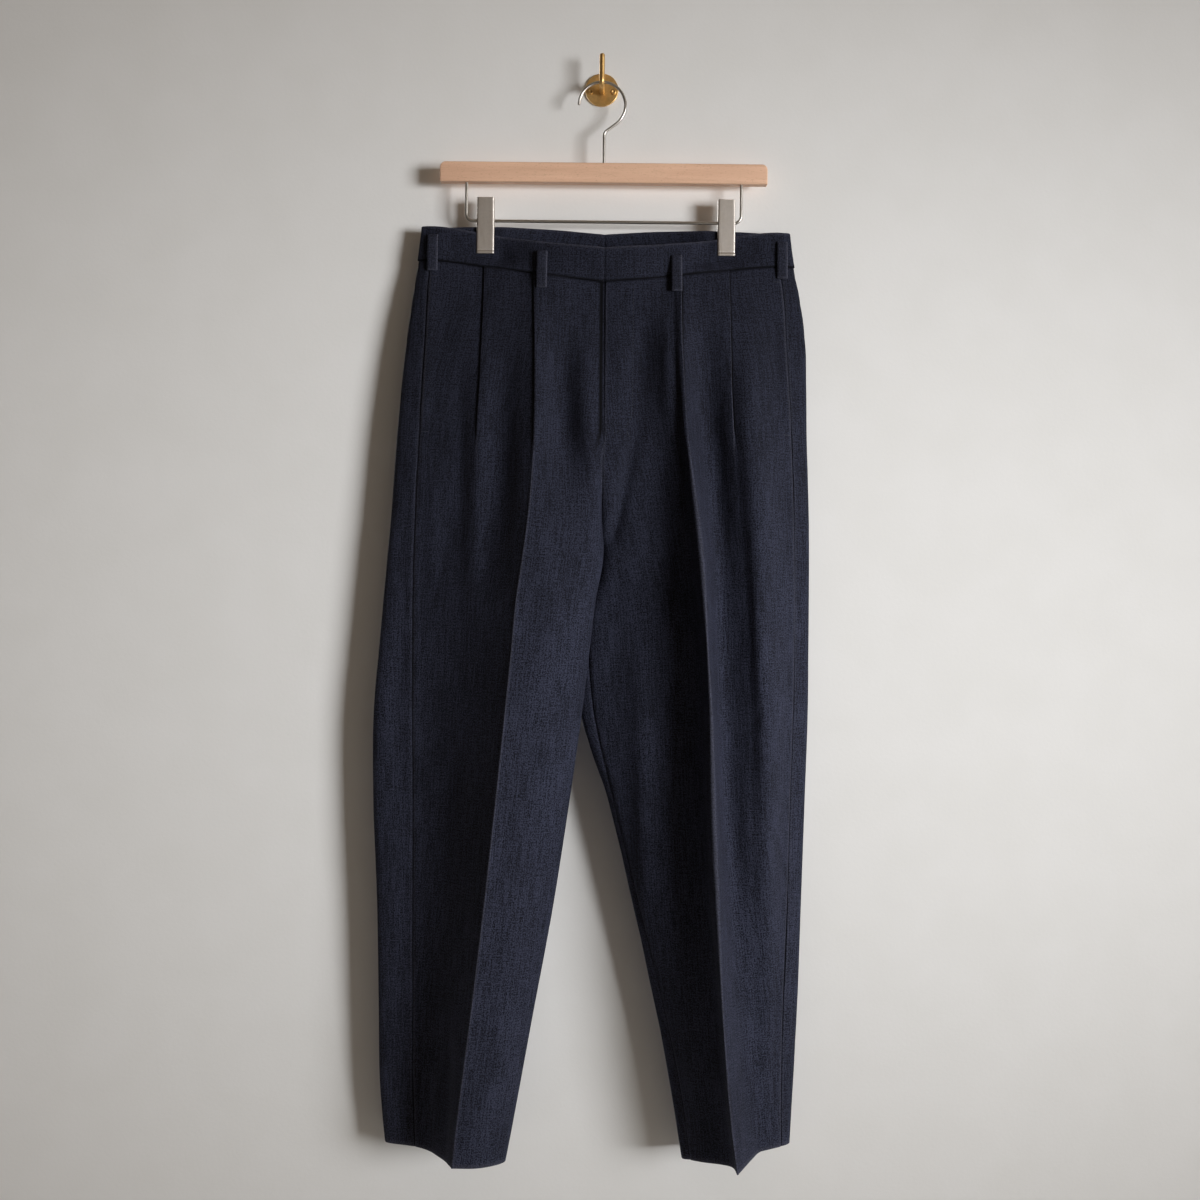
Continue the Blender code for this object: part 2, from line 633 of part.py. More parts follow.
def build_panels():
    """The four panels; returns their grids, columns running from the side seam inward."""
    grids = {}
    for side in ("left", "right"):
        grids["front", side] = panel_grid(side, front_section, "front_z")
        grids["back", side] = panel_grid(side, back_section, "back_z")
        turned = slice(None, None, -1)
        front, back = grids["front", side], grids["back", side]
        cloth_shell(f"front_{side}", front if side == "left" else front[:, turned], CLOTH)
        cloth_shell(f"back_{side}", back[:, turned] if side == "left" else back, CLOTH)
    return grids


def build_waistband():
    grids = {}
    for side in ("left", "right"):
        grid = band_grid(side)
        grids[side] = grid
        faced = grid if side == "left" else grid[:, ::-1]
        cloth_shell(f"waistband_{side}", faced, BAND_THICK)
    return grids


def behind(grid, thickness):
    """A panel's points, moved in so that a wall of this thickness clears the panel's own."""
    return grid - grid_normals(grid) * (CLOTH / 2 + SEAM_GAP + thickness / 2) * MM


def build_fly_shield(grids):
    """The underlap behind the fly slit, from the points of both fronts beside it."""
    rows = slice(1, FLY_ROWS + 1)
    left = grids["front", "left"][rows, -FLY_COLUMNS:]
    right = grids["front", "right"][rows, -FLY_COLUMNS:][:, ::-1]
    cloth_shell("fly_shield", behind(np.concatenate([left, right], axis=1), FACING), FACING)


def build_pocket_facings(grids):
    """The strip behind each pocket opening, from the points on both sides of the side seam."""
    rows = slice(1, POCKET_ROWS + 1)
    for side in ("left", "right"):
        back = grids["back", side][rows, :2][:, ::-1]
        front = grids["front", side][rows, :3]
        strip = np.concatenate([back, front], axis=1)
        if side == "right":
            strip = strip[:, ::-1]
        cloth_shell(f"pocket_facing_{side}", behind(strip, FACING), FACING)


def outer_face(grids, out_x, low_z, high_z, front=True):
    """Depth of the outermost cloth across a belt loop's width, at evenly spaced heights."""
    heights = np.linspace(low_z, high_z, LOOP_ROWS)
    sign = 1.0 if front else -1.0
    deepest = np.full(LOOP_ROWS, -np.inf)
    for grid, thickness in grids:
        for x in np.linspace(out_x - LOOP_WIDTH / 2, out_x + LOOP_WIDTH / 2, 5):
            line = [crossing(row, x * MM, front) for row in grid]
            line = np.array([point for point in line if point is not None])
            if len(line) < 2:
                continue
            order = np.argsort(line[:, 1])
            near = (heights > line[order[0], 1] - LOOP_REACH)
            near &= heights < line[order[-1], 1] + LOOP_REACH
            depth = sign * np.interp(heights, line[order, 1], line[order, 0]) + thickness / 2
            deepest[near] = np.maximum(deepest[near], depth[near])
    return heights, sign * deepest


def crossing(row, x, front):
    """Where a row of cloth passes x: its outermost (or, behind, innermost) depth and height."""
    found = []
    for a, b in zip(row[:-1], row[1:]):
        if (a[0] - x) * (b[0] - x) <= 0 and a[0] != b[0]:
            share = (x - a[0]) / (b[0] - a[0])
            place = a + share * (b - a)
            found.append((-place[1] / MM, place[2] / MM))
    if not found:
        return None
    return max(found) if front else min(found)


def build_belt_loops(grids, bands):
    """Strips that stand off the waistband, from just under its top edge to below its seam."""
    for name, x, top_z, low_z in LOOPS:
        side = "left" if x < CENTRE_X else "right"
        cloth = [(bands[side], BAND_THICK), (grids["front", side], CLOTH)]
        front = name != "back"
        if not front:
            cloth = [(bands["left"], BAND_THICK), (bands["right"], BAND_THICK),
                     (grids["back", "left"], CLOTH), (grids["back", "right"], CLOTH)]
        heights, depth = outer_face(cloth, x, low_z, top_z, front)
        share = np.linspace(0, 1, LOOP_ROWS)
        bow = (LOOP_LIFT if front else LOOP_LIFT_BACK) * np.sin(math.pi * share) ** LOOP_BOW
        lift = LOOP_SEAT + LOOP_CLOTH / 2 + bow
        depth = depth + lift if front else depth - lift
        across = np.linspace(-LOOP_WIDTH / 2, LOOP_WIDTH / 2, 3)
        strip = np.stack(np.broadcast_arrays(
            x + across[None, :], -depth[:, None], heights[:, None]), axis=-1) * MM
        cloth_shell(f"belt_loop_{name}", strip[::-1] if front else strip, LOOP_CLOTH)


def build_hanger():
    """The wooden bar, the hook wire above it and the wire frame below it."""
    half, top, bottom = BAR_LENGTH / 2, BAR_TOP_Z, BAR_TOP_Z - BAR_HEIGHT
    corner = BAR_CORNER
    outline = np.vstack([
        [(-half, bottom), (half, bottom)],
        arc((half - corner, top - corner), corner, 0, 90, 6),
        arc((-half + corner, top - corner), corner, 90, 180, 6),
    ])
    curve = bpy.data.curves.new("hanger_bar", "CURVE")
    curve.dimensions = "2D"
    curve.fill_mode = "BOTH"
    curve.bevel_depth = BAR_EDGE * MM
    curve.bevel_resolution = 1
    curve.offset = -BAR_EDGE * MM
    curve.extrude = (BAR_THICK / 2 - BAR_EDGE) * MM
    line = curve.splines.new("POLY")
    line.points.add(len(outline) - 1)
    for point, (across, up) in zip(line.points, outline):
        point.co = (across * MM, up * MM, 0.0, 1.0)
    line.use_cyclic_u = True
    bar = finish(bpy.data.objects.new("hanger_bar", curve), WOOD)
    bar.rotation_euler = (math.pi / 2, 0, 0)
    bar.location = (BAR_X * MM, -HANGER_DEPTH * MM, 0)

    ends = FRAME_HALF - FRAME_BEND
    path = np.vstack([
        [(-FRAME_HALF, bottom - SEAM_GAP)],
        arc((-ends, FRAME_Z + FRAME_BEND), FRAME_BEND, 180, 270, 6),
        arc((ends, FRAME_Z + FRAME_BEND), FRAME_BEND, 270, 360, 6),
        [(FRAME_HALF, bottom - SEAM_GAP)],
    ])
    frame = [(FRAME_X + x, -HANGER_DEPTH, z) for x, z in path]
    wire("hanger_wire_frame", frame, FRAME_WIRE / 2, STEEL)

    centre_z = ARM_Z + ARM_RADIUS + SEAM_GAP + HOOK_WIRE / 2 - HOOK_RADIUS
    bow = arc((0.5, centre_z), HOOK_RADIUS, HOOK_START, HOOK_END, 24)
    fall = math.radians(HOOK_END - 90)
    run = (STEM_X - bow[-1, 0]) / math.cos(fall)
    knee = bow[-1] + run * np.array([math.cos(fall), math.sin(fall)])
    turn = math.radians(270) - fall % (2 * math.pi)
    back_off = STEM_BEND * math.tan(abs(turn) / 2)
    start = knee - back_off * np.array([math.cos(fall), math.sin(fall)])
    bend_centre = (STEM_X + STEM_BEND, knee[1] - back_off)
    first = math.degrees(math.atan2(start[1] - bend_centre[1], start[0] - bend_centre[0]))
    stem = np.vstack([
        arc(bend_centre, STEM_BEND, first, 180, 5),
        [(STEM_X, BAR_TOP_Z + SEAM_GAP)],
    ])
    hook = [(x, -HANGER_DEPTH, z) for x, z in np.vstack([bow, stem])]
    wire("hanger_hook", hook, HOOK_WIRE / 2, STEEL)


def build_clips():
    """Each clip: two sheet-metal plates with short side walls, and a tube on the wire."""
    grip = BAND_THICK + CLIP_GAP / 2 + SEAM_GAP
    for side, offset in CLIP_OFFSETS.items():
        x = CENTRE_X + offset
        middle_z = CLIP_TOP_Z - CLIP_HEIGHT / 2
        hinge = (x, -HANGER_DEPTH, FRAME_Z)
        for face, sign in (("front", -1.0), ("back", 1.0)):
            name = f"clip_{side}_{face}_plate"
            plate_y = -HANGER_DEPTH + sign * (grip + CLIP_SHEET / 2)
            plate = block(name, (CLIP_WIDTH, CLIP_SHEET, CLIP_HEIGHT), (x, plate_y, middle_z), STEEL)
            wall_depth = grip + CLIP_SHEET / 2 - CLIP_SPLIT
            for end in (-1.0, 1.0):
                wall_x = x + end * ((CLIP_WIDTH - CLIP_SHEET) / 2 - CLIP_INSET)
                wall_y = -HANGER_DEPTH + sign * (CLIP_SPLIT + wall_depth / 2)
                wall_z = CLIP_TOP_Z - CLIP_INSET - CLIP_WALL / 2
                size = (CLIP_SHEET, wall_depth, CLIP_WALL)
                wall = block(f"{name}_wall", size, (wall_x, wall_y, wall_z), STEEL)
                combine(plate, wall, "UNION")
            notch = disc(
                f"{name}_notch", CLIP_NOTCH, CLIP_WIDTH + CUTTER_REACH, hinge, "X", STEEL, segments=24)
            combine(plate, notch, "DIFFERENCE")
        tube = disc(
            f"clip_{side}_tube", grip - SEAM_GAP, CLIP_TUBE, hinge, "X", STEEL, segments=24)
        bore = disc(
            f"clip_{side}_bore", FRAME_WIRE / 2 + SEAM_GAP, CLIP_TUBE + CUTTER_REACH,
            hinge, "X", STEEL, segments=24)
        combine(tube, bore, "DIFFERENCE")


def build_wall_hook():
    """The round plate, its two screws, and the arm that turns up at its end."""
    disc("wall_plate", PLATE_RADIUS, PLATE_THICK, (0, -PLATE_THICK / 2, 0), "Y", BRASS,
         bevel=METAL_EDGE, segments=48)
    head_y = -PLATE_THICK - SEAM_GAP - SCREW_HEAD / 2
    for side, sign in (("left", -1.0), ("right", 1.0)):
        head = disc(
            f"wall_screw_{side}", SCREW_RADIUS, SCREW_HEAD, (sign * SCREW_OFFSET, head_y, SCREW_Z),
            "Y", BRASS, bevel=METAL_EDGE, segments=24)
        slot = block(
            f"wall_screw_{side}_slot", (SCREW_SLOT, SCREW_HEAD, 3 * SCREW_RADIUS),
            (sign * SCREW_OFFSET, head_y - SCREW_HEAD / 2, SCREW_Z), BRASS)
        combine(head, slot, "DIFFERENCE")
    rise = arc((ARM_RISER_DEPTH - ARM_BEND, ARM_Z + ARM_BEND), ARM_BEND, 270, 360, 8)
    path = np.vstack([[(PLATE_THICK + SEAM_GAP, ARM_Z)], rise, [(ARM_RISER_DEPTH, ARM_TIP_Z)]])
    wire("wall_arm", [(0, -depth, z) for depth, z in path], ARM_RADIUS, BRASS, resolution=3)


def main():
    panels = build_panels()
    bands = build_waistband()
    build_fly_shield(panels)
    build_pocket_facings(panels)
    build_belt_loops(panels, bands)
    build_hanger()
    build_clips()
    build_wall_hook()


for old in list(bpy.data.objects):
    bpy.data.objects.remove(old)
PARTS = bpy.data.collections.new("pleated_denim_trousers")
CUTTERS = bpy.data.collections.new("cutters")
bpy.context.scene.collection.children.link(PARTS)
bpy.context.scene.collection.children.link(CUTTERS)
main()
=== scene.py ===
import functools
import math

import bpy
import numpy as np
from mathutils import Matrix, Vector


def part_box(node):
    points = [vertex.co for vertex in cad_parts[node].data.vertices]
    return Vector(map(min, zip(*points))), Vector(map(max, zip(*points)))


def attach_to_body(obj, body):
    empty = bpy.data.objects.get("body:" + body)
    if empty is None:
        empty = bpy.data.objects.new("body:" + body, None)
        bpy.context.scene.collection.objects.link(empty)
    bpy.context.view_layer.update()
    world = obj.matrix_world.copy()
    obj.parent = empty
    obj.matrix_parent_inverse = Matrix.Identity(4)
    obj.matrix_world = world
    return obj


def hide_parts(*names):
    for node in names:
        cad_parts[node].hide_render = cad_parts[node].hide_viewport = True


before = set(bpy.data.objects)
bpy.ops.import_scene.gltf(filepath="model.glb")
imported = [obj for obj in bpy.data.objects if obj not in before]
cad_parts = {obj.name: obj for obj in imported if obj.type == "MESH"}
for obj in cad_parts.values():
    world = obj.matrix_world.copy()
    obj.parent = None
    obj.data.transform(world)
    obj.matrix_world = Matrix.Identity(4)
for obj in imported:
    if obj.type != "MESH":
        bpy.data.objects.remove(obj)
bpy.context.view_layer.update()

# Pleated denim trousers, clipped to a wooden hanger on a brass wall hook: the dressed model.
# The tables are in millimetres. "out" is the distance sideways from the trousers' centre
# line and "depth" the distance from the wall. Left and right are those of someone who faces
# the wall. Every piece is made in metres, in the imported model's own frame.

bl_info = {
    "name": "Pleated Denim Trousers on a Clip Hanger",
    "version": (1, 0, 0),
    "blender": (4, 5, 0),
    "location": "3D View > Sidebar > Trousers",
    "description": (
        "Makes denim trousers with pleats and pressed creases, their hanger and wall hook"),
    "category": "Add Mesh",
}

MM = 0.001
BODY = "root"
SIDES = ("left", "right")

# The trousers' sections
CENTRE_X = 5.0
WAIST_Z, CROTCH_Z, HEM_Z = -206.0, -533.0, -1206.0
KNEE_ROWS_Z = -540.0
SEAM_GAP = 0.3
TURN_WALL, TURN_EASE = 0.6, 0.2
WRAP = 70.0
TANGENT_STEP, ROW_LIFT = 2.0, 1e5
FOLD_MARGIN = 6.0
FOLD_START_Z = -225.0
LAYER_FADE = 32.0


def table(columns, rows):
    """Named columns, each an array with one number a row."""
    return dict(zip(columns.split(), np.array(rows, float).T))


# One row for each section of a leg, from the waist seam to the hem. edge is the outline's
# edge, seam the side seam, swell the soft swell beside it, second the second pleat, hollow
# the foot of the crease's outer flank, and crease the main pleat and leg crease. press says
# how sharply the crease is pressed.
OUTER_COLUMNS = (
    "z edge seam seam_depth swell swell_depth second second_depth"
    " hollow hollow_depth crease crease_depth press")
OUTER = {
    "left": table(OUTER_COLUMNS, (
        (-206, 211.7, 198.9, 28, 167, 29.7, 135.5, 32, 110, 37.5, 78.5, 46, 0.10),
        (-250, 217.4, 200.0, 36, 167, 40.8, 135.0, 45, 112, 50.5, 77.2, 60, 0.25),
        (-300, 223.4, 201.5, 42, 167, 48.5, 135.9, 54, 114, 59, 75.9, 72, 0.36),
        (-350, 228.0, 203.7, 46, 168, 53.5, 137.0, 62, 115, 66, 74.9, 83, 0.47),
        (-400, 231.8, 205.8, 49, 170, 58.5, 138.6, 69.5, 117, 73.5, 74.8, 94, 0.58),
        (-450, 234.8, 208.0, 51, 172, 62, 140.0, 74.5, 119, 79.5, 76.5, 104, 0.70),
        (-500, 237.8, 209.6, 53, 174, 63.5, 143.0, 77.5, 121, 84.5, 80.0, 113, 0.80),
        (-533, 240.4, 210.4, 54, 176, 65, 145.0, 79.5, 121, 89, 83.6, 118, 0.86),
        (-590, 245.0, 210.8, 55, 178, 67, 150.0, 81.5, 121, 100, 91.0, 124, 0.95),
        (-650, 249.6, 210.4, 56, 181, 68, 155.0, 82.5, 124, 104.5, 96.0, 128, 1.00),
        (-704, 253.8, 209.9, 57, 183, 68.5, 159.0, 82, 128, 106, 100.9, 130, 1.00),
        (-817, 253.8, 208.2, 57, 184, 68, 163.0, 80, 137, 104.5, 111.7, 130, 1.00),
        (-930, 248.6, 207.2, 56, 186, 66.5, 169.0, 78, 146, 102, 123.2, 127, 1.00),
        (-1043, 245.8, 206.2, 54, 188, 62.5, 174.0, 73.5, 155, 97, 136.1, 122, 0.98),
        (-1156, 242.5, 205.0, 50, 190, 58, 180.0, 67.5, 165, 90, 150.0, 115, 0.92),
        (-1206, 237.5, 202.9, 48, 191, 55.2, 182.0, 64, 169, 86, 155.5, 110, 0.88),
    )),
    "right": table(OUTER_COLUMNS, (
        (-206, 215.3, 199.7, 28, 168, 30, 140.5, 32, 112, 38.5, 86.0, 45, 0.10),
        (-250, 223.2, 203.9, 36, 166, 45, 140.8, 47.5, 111, 52, 85.9, 60, 0.25),
        (-300, 228.7, 206.3, 42, 164, 57, 141.6, 57, 111, 56.5, 86.4, 73, 0.36),
        (-350, 229.7, 209.2, 46, 161, 69, 143.0, 63.5, 113, 57.5, 88.5, 84, 0.47),
        (-400, 230.3, 212.1, 49, 162, 77.5, 145.3, 71.5, 115, 61, 91.7, 95, 0.58),
        (-450, 232.0, 214.2, 51, 167, 83, 148.3, 76, 121, 66, 97.5, 104, 0.70),
        (-500, 233.5, 215.8, 53, 171, 87, 152.0, 78.5, 127, 67.5, 103.6, 112, 0.80),
        (-533, 234.0, 216.6, 54, 172, 89, 155.0, 80, 129.5, 70, 107.2, 117, 0.86),
        (-590, 234.3, 217.6, 55, 174, 92, 160.0, 83, 131.5, 72, 111.7, 124, 0.95),
        (-650, 234.3, 217.4, 56, 177, 94, 163.0, 85, 133.5, 74.5, 115.5, 128, 1.00),
        (-704, 234.2, 216.8, 57, 180, 93.5, 165.0, 86, 136, 76.5, 118.7, 130, 1.00),
        (-817, 231.5, 214.1, 57, 184, 90, 167.0, 85.5, 142, 79.5, 122.9, 130, 1.00),
        (-930, 228.7, 212.0, 56, 187, 82, 170.0, 82, 150, 82, 129.3, 127, 1.00),
        (-1043, 225.9, 208.9, 54, 190, 69.5, 174.0, 75, 159, 84, 136.8, 122, 0.98),
        (-1156, 221.6, 208.3, 50, 194, 59.5, 179.0, 68, 169, 79, 147.8, 115, 0.92),
        (-1206, 219.5, 209.2, 48, 197, 55.3, 182.0, 63.5, 175.5, 73.5, 155.0, 110, 0.88),
    )),
}

# The inner side of each leg: bend is the front's last soft corner, inseam the inseam below
# the crotch, and tuck the back's first soft corner.
INNER_COLUMNS = "z bend bend_depth facet inseam inseam_depth tuck tuck_depth"
INNER = {
    "left": table(INNER_COLUMNS, (
        (-206, 30, 50, 1, 0, 50, 30, 8),
        (-250, 29, 55.3, -1, 0, 50, 30, 6),
        (-300, 26, 62, -4, 0, 50, 30, 5),
        (-350, 22, 71.5, -9, 0, 50, 28, 5),
        (-400, 17, 80.5, -13, 0, 50, 24, 6),
        (-450, 10, 86.5, -7, 0, 50, 20, 9),
        (-500, 4, 93, 3, 0, 50, 16, 16),
        (-533, 1, 95, 8, 1.0, 47, 14, 28),
        (-590, 7.5, 94, 11.4, 14, 58, 28, 30),
        (-650, 13.5, 92, 12, 23, 60, 38, 34),
        (-704, 19.2, 90, 12, 30, 60, 44, 35),
        (-817, 34, 88, 12, 44, 60, 56, 35),
        (-930, 50.5, 86, 12, 60, 60, 71, 35),
        (-1043, 70.3, 84, 11.8, 79, 60, 88, 35),
        (-1156, 90.6, 82, 11, 98, 58, 106, 34),
        (-1206, 100, 80, 10.6, 107, 56, 114, 32),
    )),
    "right": table(INNER_COLUMNS, (
        (-206, 30, 50, -2.7, 0, 50, 30, 8),
        (-250, 36, 55.3, -4, 0, 50, 30, 6),
        (-300, 40, 60, -5, 0, 50, 30, 5),
        (-350, 40, 66.5, -6, 0, 50, 28, 5),
        (-400, 38, 72, -7, 0, 50, 24, 6),
        (-450, 33, 74, -10, 0, 50, 20, 9),
        (-500, 22, 71, -14, 0, 50, 16, 16),
        (-533, 14, 67, -17, 1.0, 47, 6, 36),
        (-590, 25, 65, -20, -8, 53, -13, 45),
        (-650, 28, 67, -21, -13, 53, -22, 45),
        (-704, 31, 69, -21, -8.5, 53, -23.5, 44),
        (-817, 47, 70, -21, 17.5, 52, 11.5, 44),
        (-930, 69, 70, -21, 47, 52, 39.5, 44),
        (-1043, 92, 68, -21, 75, 52, 65.3, 43),
        (-1156, 112, 64, -20, 100, 51, 89.5, 42),
        (-1206, 118, 60, -19, 107, 50, 98.2, 41),
    )),
}

# The centre-front and centre-back seams down to the crotch; turn goes from 0, where the
# panels meet flat, to 1, where both turn back between the legs.
RISE = table("z front_depth back_depth turn", (
    (-206, 50, 8, 0),
    (-250, 54.5, 6, 0),
    (-300, 60, 5, 0),
    (-350, 68, 5, 0),
    (-400, 77, 6, 0),
    (-430, 82, 8, 0),
    (-450, 82, 10, 0.15),
    (-480, 75, 16, 0.55),
    (-500, 65, 23, 0.85),
    (-520, 54.5, 34, 1),
    (-533, 47.2, 46.8, 1),
))

FACET_AT = {"left": 0.55, "right": 0.13}
EDGE_SHARE, EDGE_DEPTH = 0.69, 4.7
ROUND_OUT, ROUND_SHARE, ROUND_PULL = 9.0, 0.45, 4.0
FLANK_OUT, FLANK_DEPTH = 45.0, 3.0
CROTCH_RUN, CROTCH_SETTLE_Z = 20.0, -565.0
BACK_DEPTH, CLIP_PULL, CLIP_PULL_END = 4.0, 12.5, -310.0
SEAM_LEVEL_Z, HEM_LEVEL_Z = -330.0, -1043.0

# Each pleat: how deep it is folded, the height where the fold has run out, and the height
# where the cloth lies smooth below it. Then how far its layers stand apart at the waist
# seam, which presses them together, and below it.
PLEATS = {"second": (9.0, -380.0, -445.0), "crease": (12.0, -400.0, -445.0)}
PITCH_AT_SEAM, PITCH_BELOW, PITCH_FREE_Z = 1.06, 1.2, -250.0

# The seam under the waistband and the hem, as heights along "out"
WAIST_SEAM = table("out front_z back_z", (
    (0, -231.5, -206.8),
    (62, -224.5, -206.3),
    (125, -215.0, -206.1),
    (190, -206.8, -206.0),
    (225, -206.0, -206.0),
))
HEM = {
    "left": table("out z", ((95, -1211.0), (155, -1208.5), (240, -1205.0))),
    "right": table("out z", ((95, -1219.0), (155, -1212.0), (185, -1203.5), (225, -1201.0))),
}
WAIST_TILT, BACK_SETTLE = 0.0085, 30.0

# The waistband's top edge, from the centre front round the side to the centre back
BAND_TOP = table("out depth", (
    (0, 48), (30, 46.5), (78, 37), (114, 25.6), (126, 25.5), (158, 25.5), (196, 25.4),
    (208.5, 21.8), (196, 18.2), (158, 22.5), (126, 22.5), (114, 22.3), (76, 12), (28, 8.6),
    (0, 9.2),
))
BAND_TOP_HEIGHT = table("out front_z back_z", (
    (0, -193.0, -169.5),
    (62, -187.0, -165.5),
    (122, -177.5, -166.5),
    (190, -167.8, -167.6),
    (225, -167.0, -167.0),
))
BAND_SEAM_INDEX = 6
BAND_TOP_REACH = {"left": 208.5, "right": 210.7}
BAND_FRONT, BAND_BACK = 14, 8
BAND_TURN_LOW = (7, 13, 18, 24, 36)
BAND_TURN_TOP = (6, 11.5, 16.5, 22, 34)
PINCH_AT, PINCH_REACH = 136.0, 36.0
PINCH_SHARE_FRONT, PINCH_SHARE_BACK = 0.38, 0.2
BAND_THICK = 2.4
# Where its path turns to the back, where the back's puckers fade out, and their waves, each
# with its height, its rate along "out" and where it starts
BAND_BEHIND, PUCKER_OUT = (BAND_FRONT - 1.2, BAND_FRONT + 0.2), (60, 110)
PUCKER_WAVES = ((1.0, 0.42, 0.0), (0.7, 0.23, 1.0))

# Soft ridges (height above 0) and troughs (below 0) on the cloth, each along a straight line
# from a start to an end, with its half width. They rise and fade towards both ends.
CREASE_COLUMNS = "out z end_out end_z width height"
CREASE_FADE = 1.3
FRONT_CREASES = {
    "left": table(CREASE_COLUMNS, (
        (108, -280, 112, -580, 15, -4.6),
        (160, -300, 158, -560, 9, -2.4),
        (140, -330, 136, -600, 9, 2.2),
        (186, -400, 190, -640, 10, 1.6),
        (52, -234, 44, -520, 16, -3.6),
        (16, -234, 12, -520, 13, 3.0),
        (150, -470, 132, -640, 12, 1.8),
        (60, -470, 30, -640, 13, -1.8),
        (40, -560, 62, -700, 11, 1.4),
        (176, -650, 150, -760, 16, 1.8),
        (150, -770, 190, -860, 15, -1.6),
        (92, -720, 62, -800, 14, -1.2),
        (190, -900, 165, -1010, 15, 1.4),
        (100, -880, 84, -990, 12, 1.1),
        (175, -1060, 196, -1190, 12, -1.3),
        (118, -1060, 128, -1190, 10, -1.0),
        (163, -1010, 168, -1260, 8, -3.6),
    )),
    "right": table(CREASE_COLUMNS, (
        (16, -238, 20, -400, 9, 1.6),
        (47, -240, 40, -420, 13, -4.6),
        (80, -400, 106, -640, 15, 7.0),
        (106, -620, 128, -1050, 14, 4.0),
        (8, -490, 6, -590, 10, 5.5),
        (71, -240, 74, -430, 9, 3.6),
        (26, -385, -2, -550, 9, 3.4),
        (41, -380, 6, -556, 6, -5.0),
        (42, -580, 56, -1010, 10, 3.6),
        (122, -320, 130, -540, 13, -3.6),
        (166, -330, 171, -540, 14, 2.8),
        (150, -560, 128, -680, 12, 0.8),
        (196, -540, 176, -650, 12, -1.0),
        (70, -600, 96, -700, 12, 1.5),
        (190, -690, 160, -735, 7, -1.6),
        (178, -735, 206, -700, 7, 1.2),
        (60, -760, 88, -860, 13, -1.2),
        (150, -800, 180, -900, 14, 1.4),
        (186, -930, 168, -1030, 13, -1.4),
        (96, -940, 112, -1040, 12, 1.0),
        (180, -1070, 196, -1185, 11, 1.2),
    )),
}
BACK_CREASES = {
    "left": table(CREASE_COLUMNS, (
        (150, -230, 130, -420, 18, -1.2),
        (90, -230, 84, -400, 16, 1.1),
        (60, -430, 120, -520, 14, 1.3),
        (50, -470, 130, -580, 13, -1.2),
        (70, -520, 140, -640, 14, 1.1),
        (200, -640, 150, -760, 16, 1.2),
        (120, -700, 200, -790, 13, -1.3),
        (200, -820, 140, -900, 15, 1.1),
        (110, -960, 190, -1060, 15, -1.0),
        (220, -560, 232, -760, 9, -1.4),
        (226, -860, 230, -1060, 9, 1.2),
    )),
    "right": table(CREASE_COLUMNS, (
        (140, -230, 136, -400, 17, -1.1),
        (70, -240, 78, -420, 15, 1.0),
        (40, -440, 110, -540, 14, 1.2),
        (30, -490, 120, -600, 13, -1.3),
        (150, -560, 196, -700, 15, 1.1),
        (60, -700, 150, -790, 14, -1.2),
        (190, -800, 120, -880, 14, 1.2),
        (110, -960, 180, -1080, 15, -1.0),
        (218, -480, 222, -700, 9, -1.3),
        (214, -900, 214, -1080, 8, 1.0),
    )),
}

# On the front of the waistband, with heights as a share of it in hundredths
BAND_CREASES = table(CREASE_COLUMNS, (
    (96, 0, 88, 100, 9, -0.9),
    (46, 10, 52, 95, 10, 0.7),
    (24, 20, 20, 80, 6, 0.5),
    (168, 5, 172, 95, 9, -0.8),
))

# Where the cloth is rubbed to pale yarn (above 0), or is given painted shade, a near-black
# line in its seams, beside its pleats' folds and beside the fly, where shade falls (below 0):
# how strongly, how far from its edge and how wide. 'loop' is a painted highlight along each
# belt loop's right edge, the side turned to the light, and 'loop_painted_shade' painted shade
# along its left edge. The fold is counted in columns of the grid, and the waistband's two in
# shares of its height.
WEAR_AND_PAINTED_LIGHT = {
    "crease": (0.6, 0.0, 0.6),
    "fold": (0.5, 0.0, 2.0),
    "seam": (0.35, 1.5, 1.0),
    "front_end": (0.2, 1.2, 1.0),
    "back_end": (0.35, 1.2, 1.0),
    "hem": (0.6, 0.0, 1.2),
    "loop": (0.55, 0.0, 0.9),
    "loop_painted_shade": (-0.8, 0.0, 0.8),
    "band_top": (0.5, 1.0, 0.04),
    "fold_painted_shade": (-1.5, 0.0, 2.0),
    "fly_painted_shade": (-1.5, 9.8, 1.8),
    "front_waist_painted_shade": (-0.8, 0.0, 0.6),
    "back_waist_painted_shade": (-1.0, 0.0, 0.7),
    "front_side_painted_shade": (-0.8, 0.0, 0.6),
    "back_side_painted_shade": (-1.2, 0.0, 0.9),
    "band_painted_shade": (-1.0, 0.0, 0.012),
}

# How the cloth is sewn: the pressed edge of a seam, the fly's lap and the pocket's mouth.
# Then how far the hem is turned up and how thick that makes it, how softly the pocket's lift
# starts and ends, how the panels' top rows and the waistband meet, how near the wall a back
# may come, how a shell's rim stands out and how much of the pale edges and painted shade and
# highlight its inner side gets.
SEAM_DIP, SEAM_DIP_WIDTH, SEAM_SWELL, SEAM_SWELL_AT, SEAM_SWELL_WIDTH = 0.55, 0.9, 0.45, 5.0, 4.0
PRESS_HEIGHT, PRESS_WIDTH = 0.7, 1.3
LAP_LEFT, LAP_RIGHT, LAP_SUNK, LAP_RAISED, LAP_RUN = 7.0, 1.6, 0.75, 0.75, 14.0
LAP_TOP_Z, LAP_END_Z = -400.0, -432.0
POCKET_TOP_Z, POCKET_END_Z, POCKET_FALL = -222.0, -401.0, 10.0
HEM_TURN, HEM_STEP, HEM_BLEND = 26.0, 1.2, 1.5
POCKET_RISE, POCKET_CLOSE = 12.0, 14.0
TOP_TUCK, WALL_CLEAR, BAND_LIFT, BAND_OUT = 0.15, 0.9, 0.2, 0.6
RIM_SHARE, INNER_WEAR_AND_PAINTED_LIGHT = 0.8, 0.5

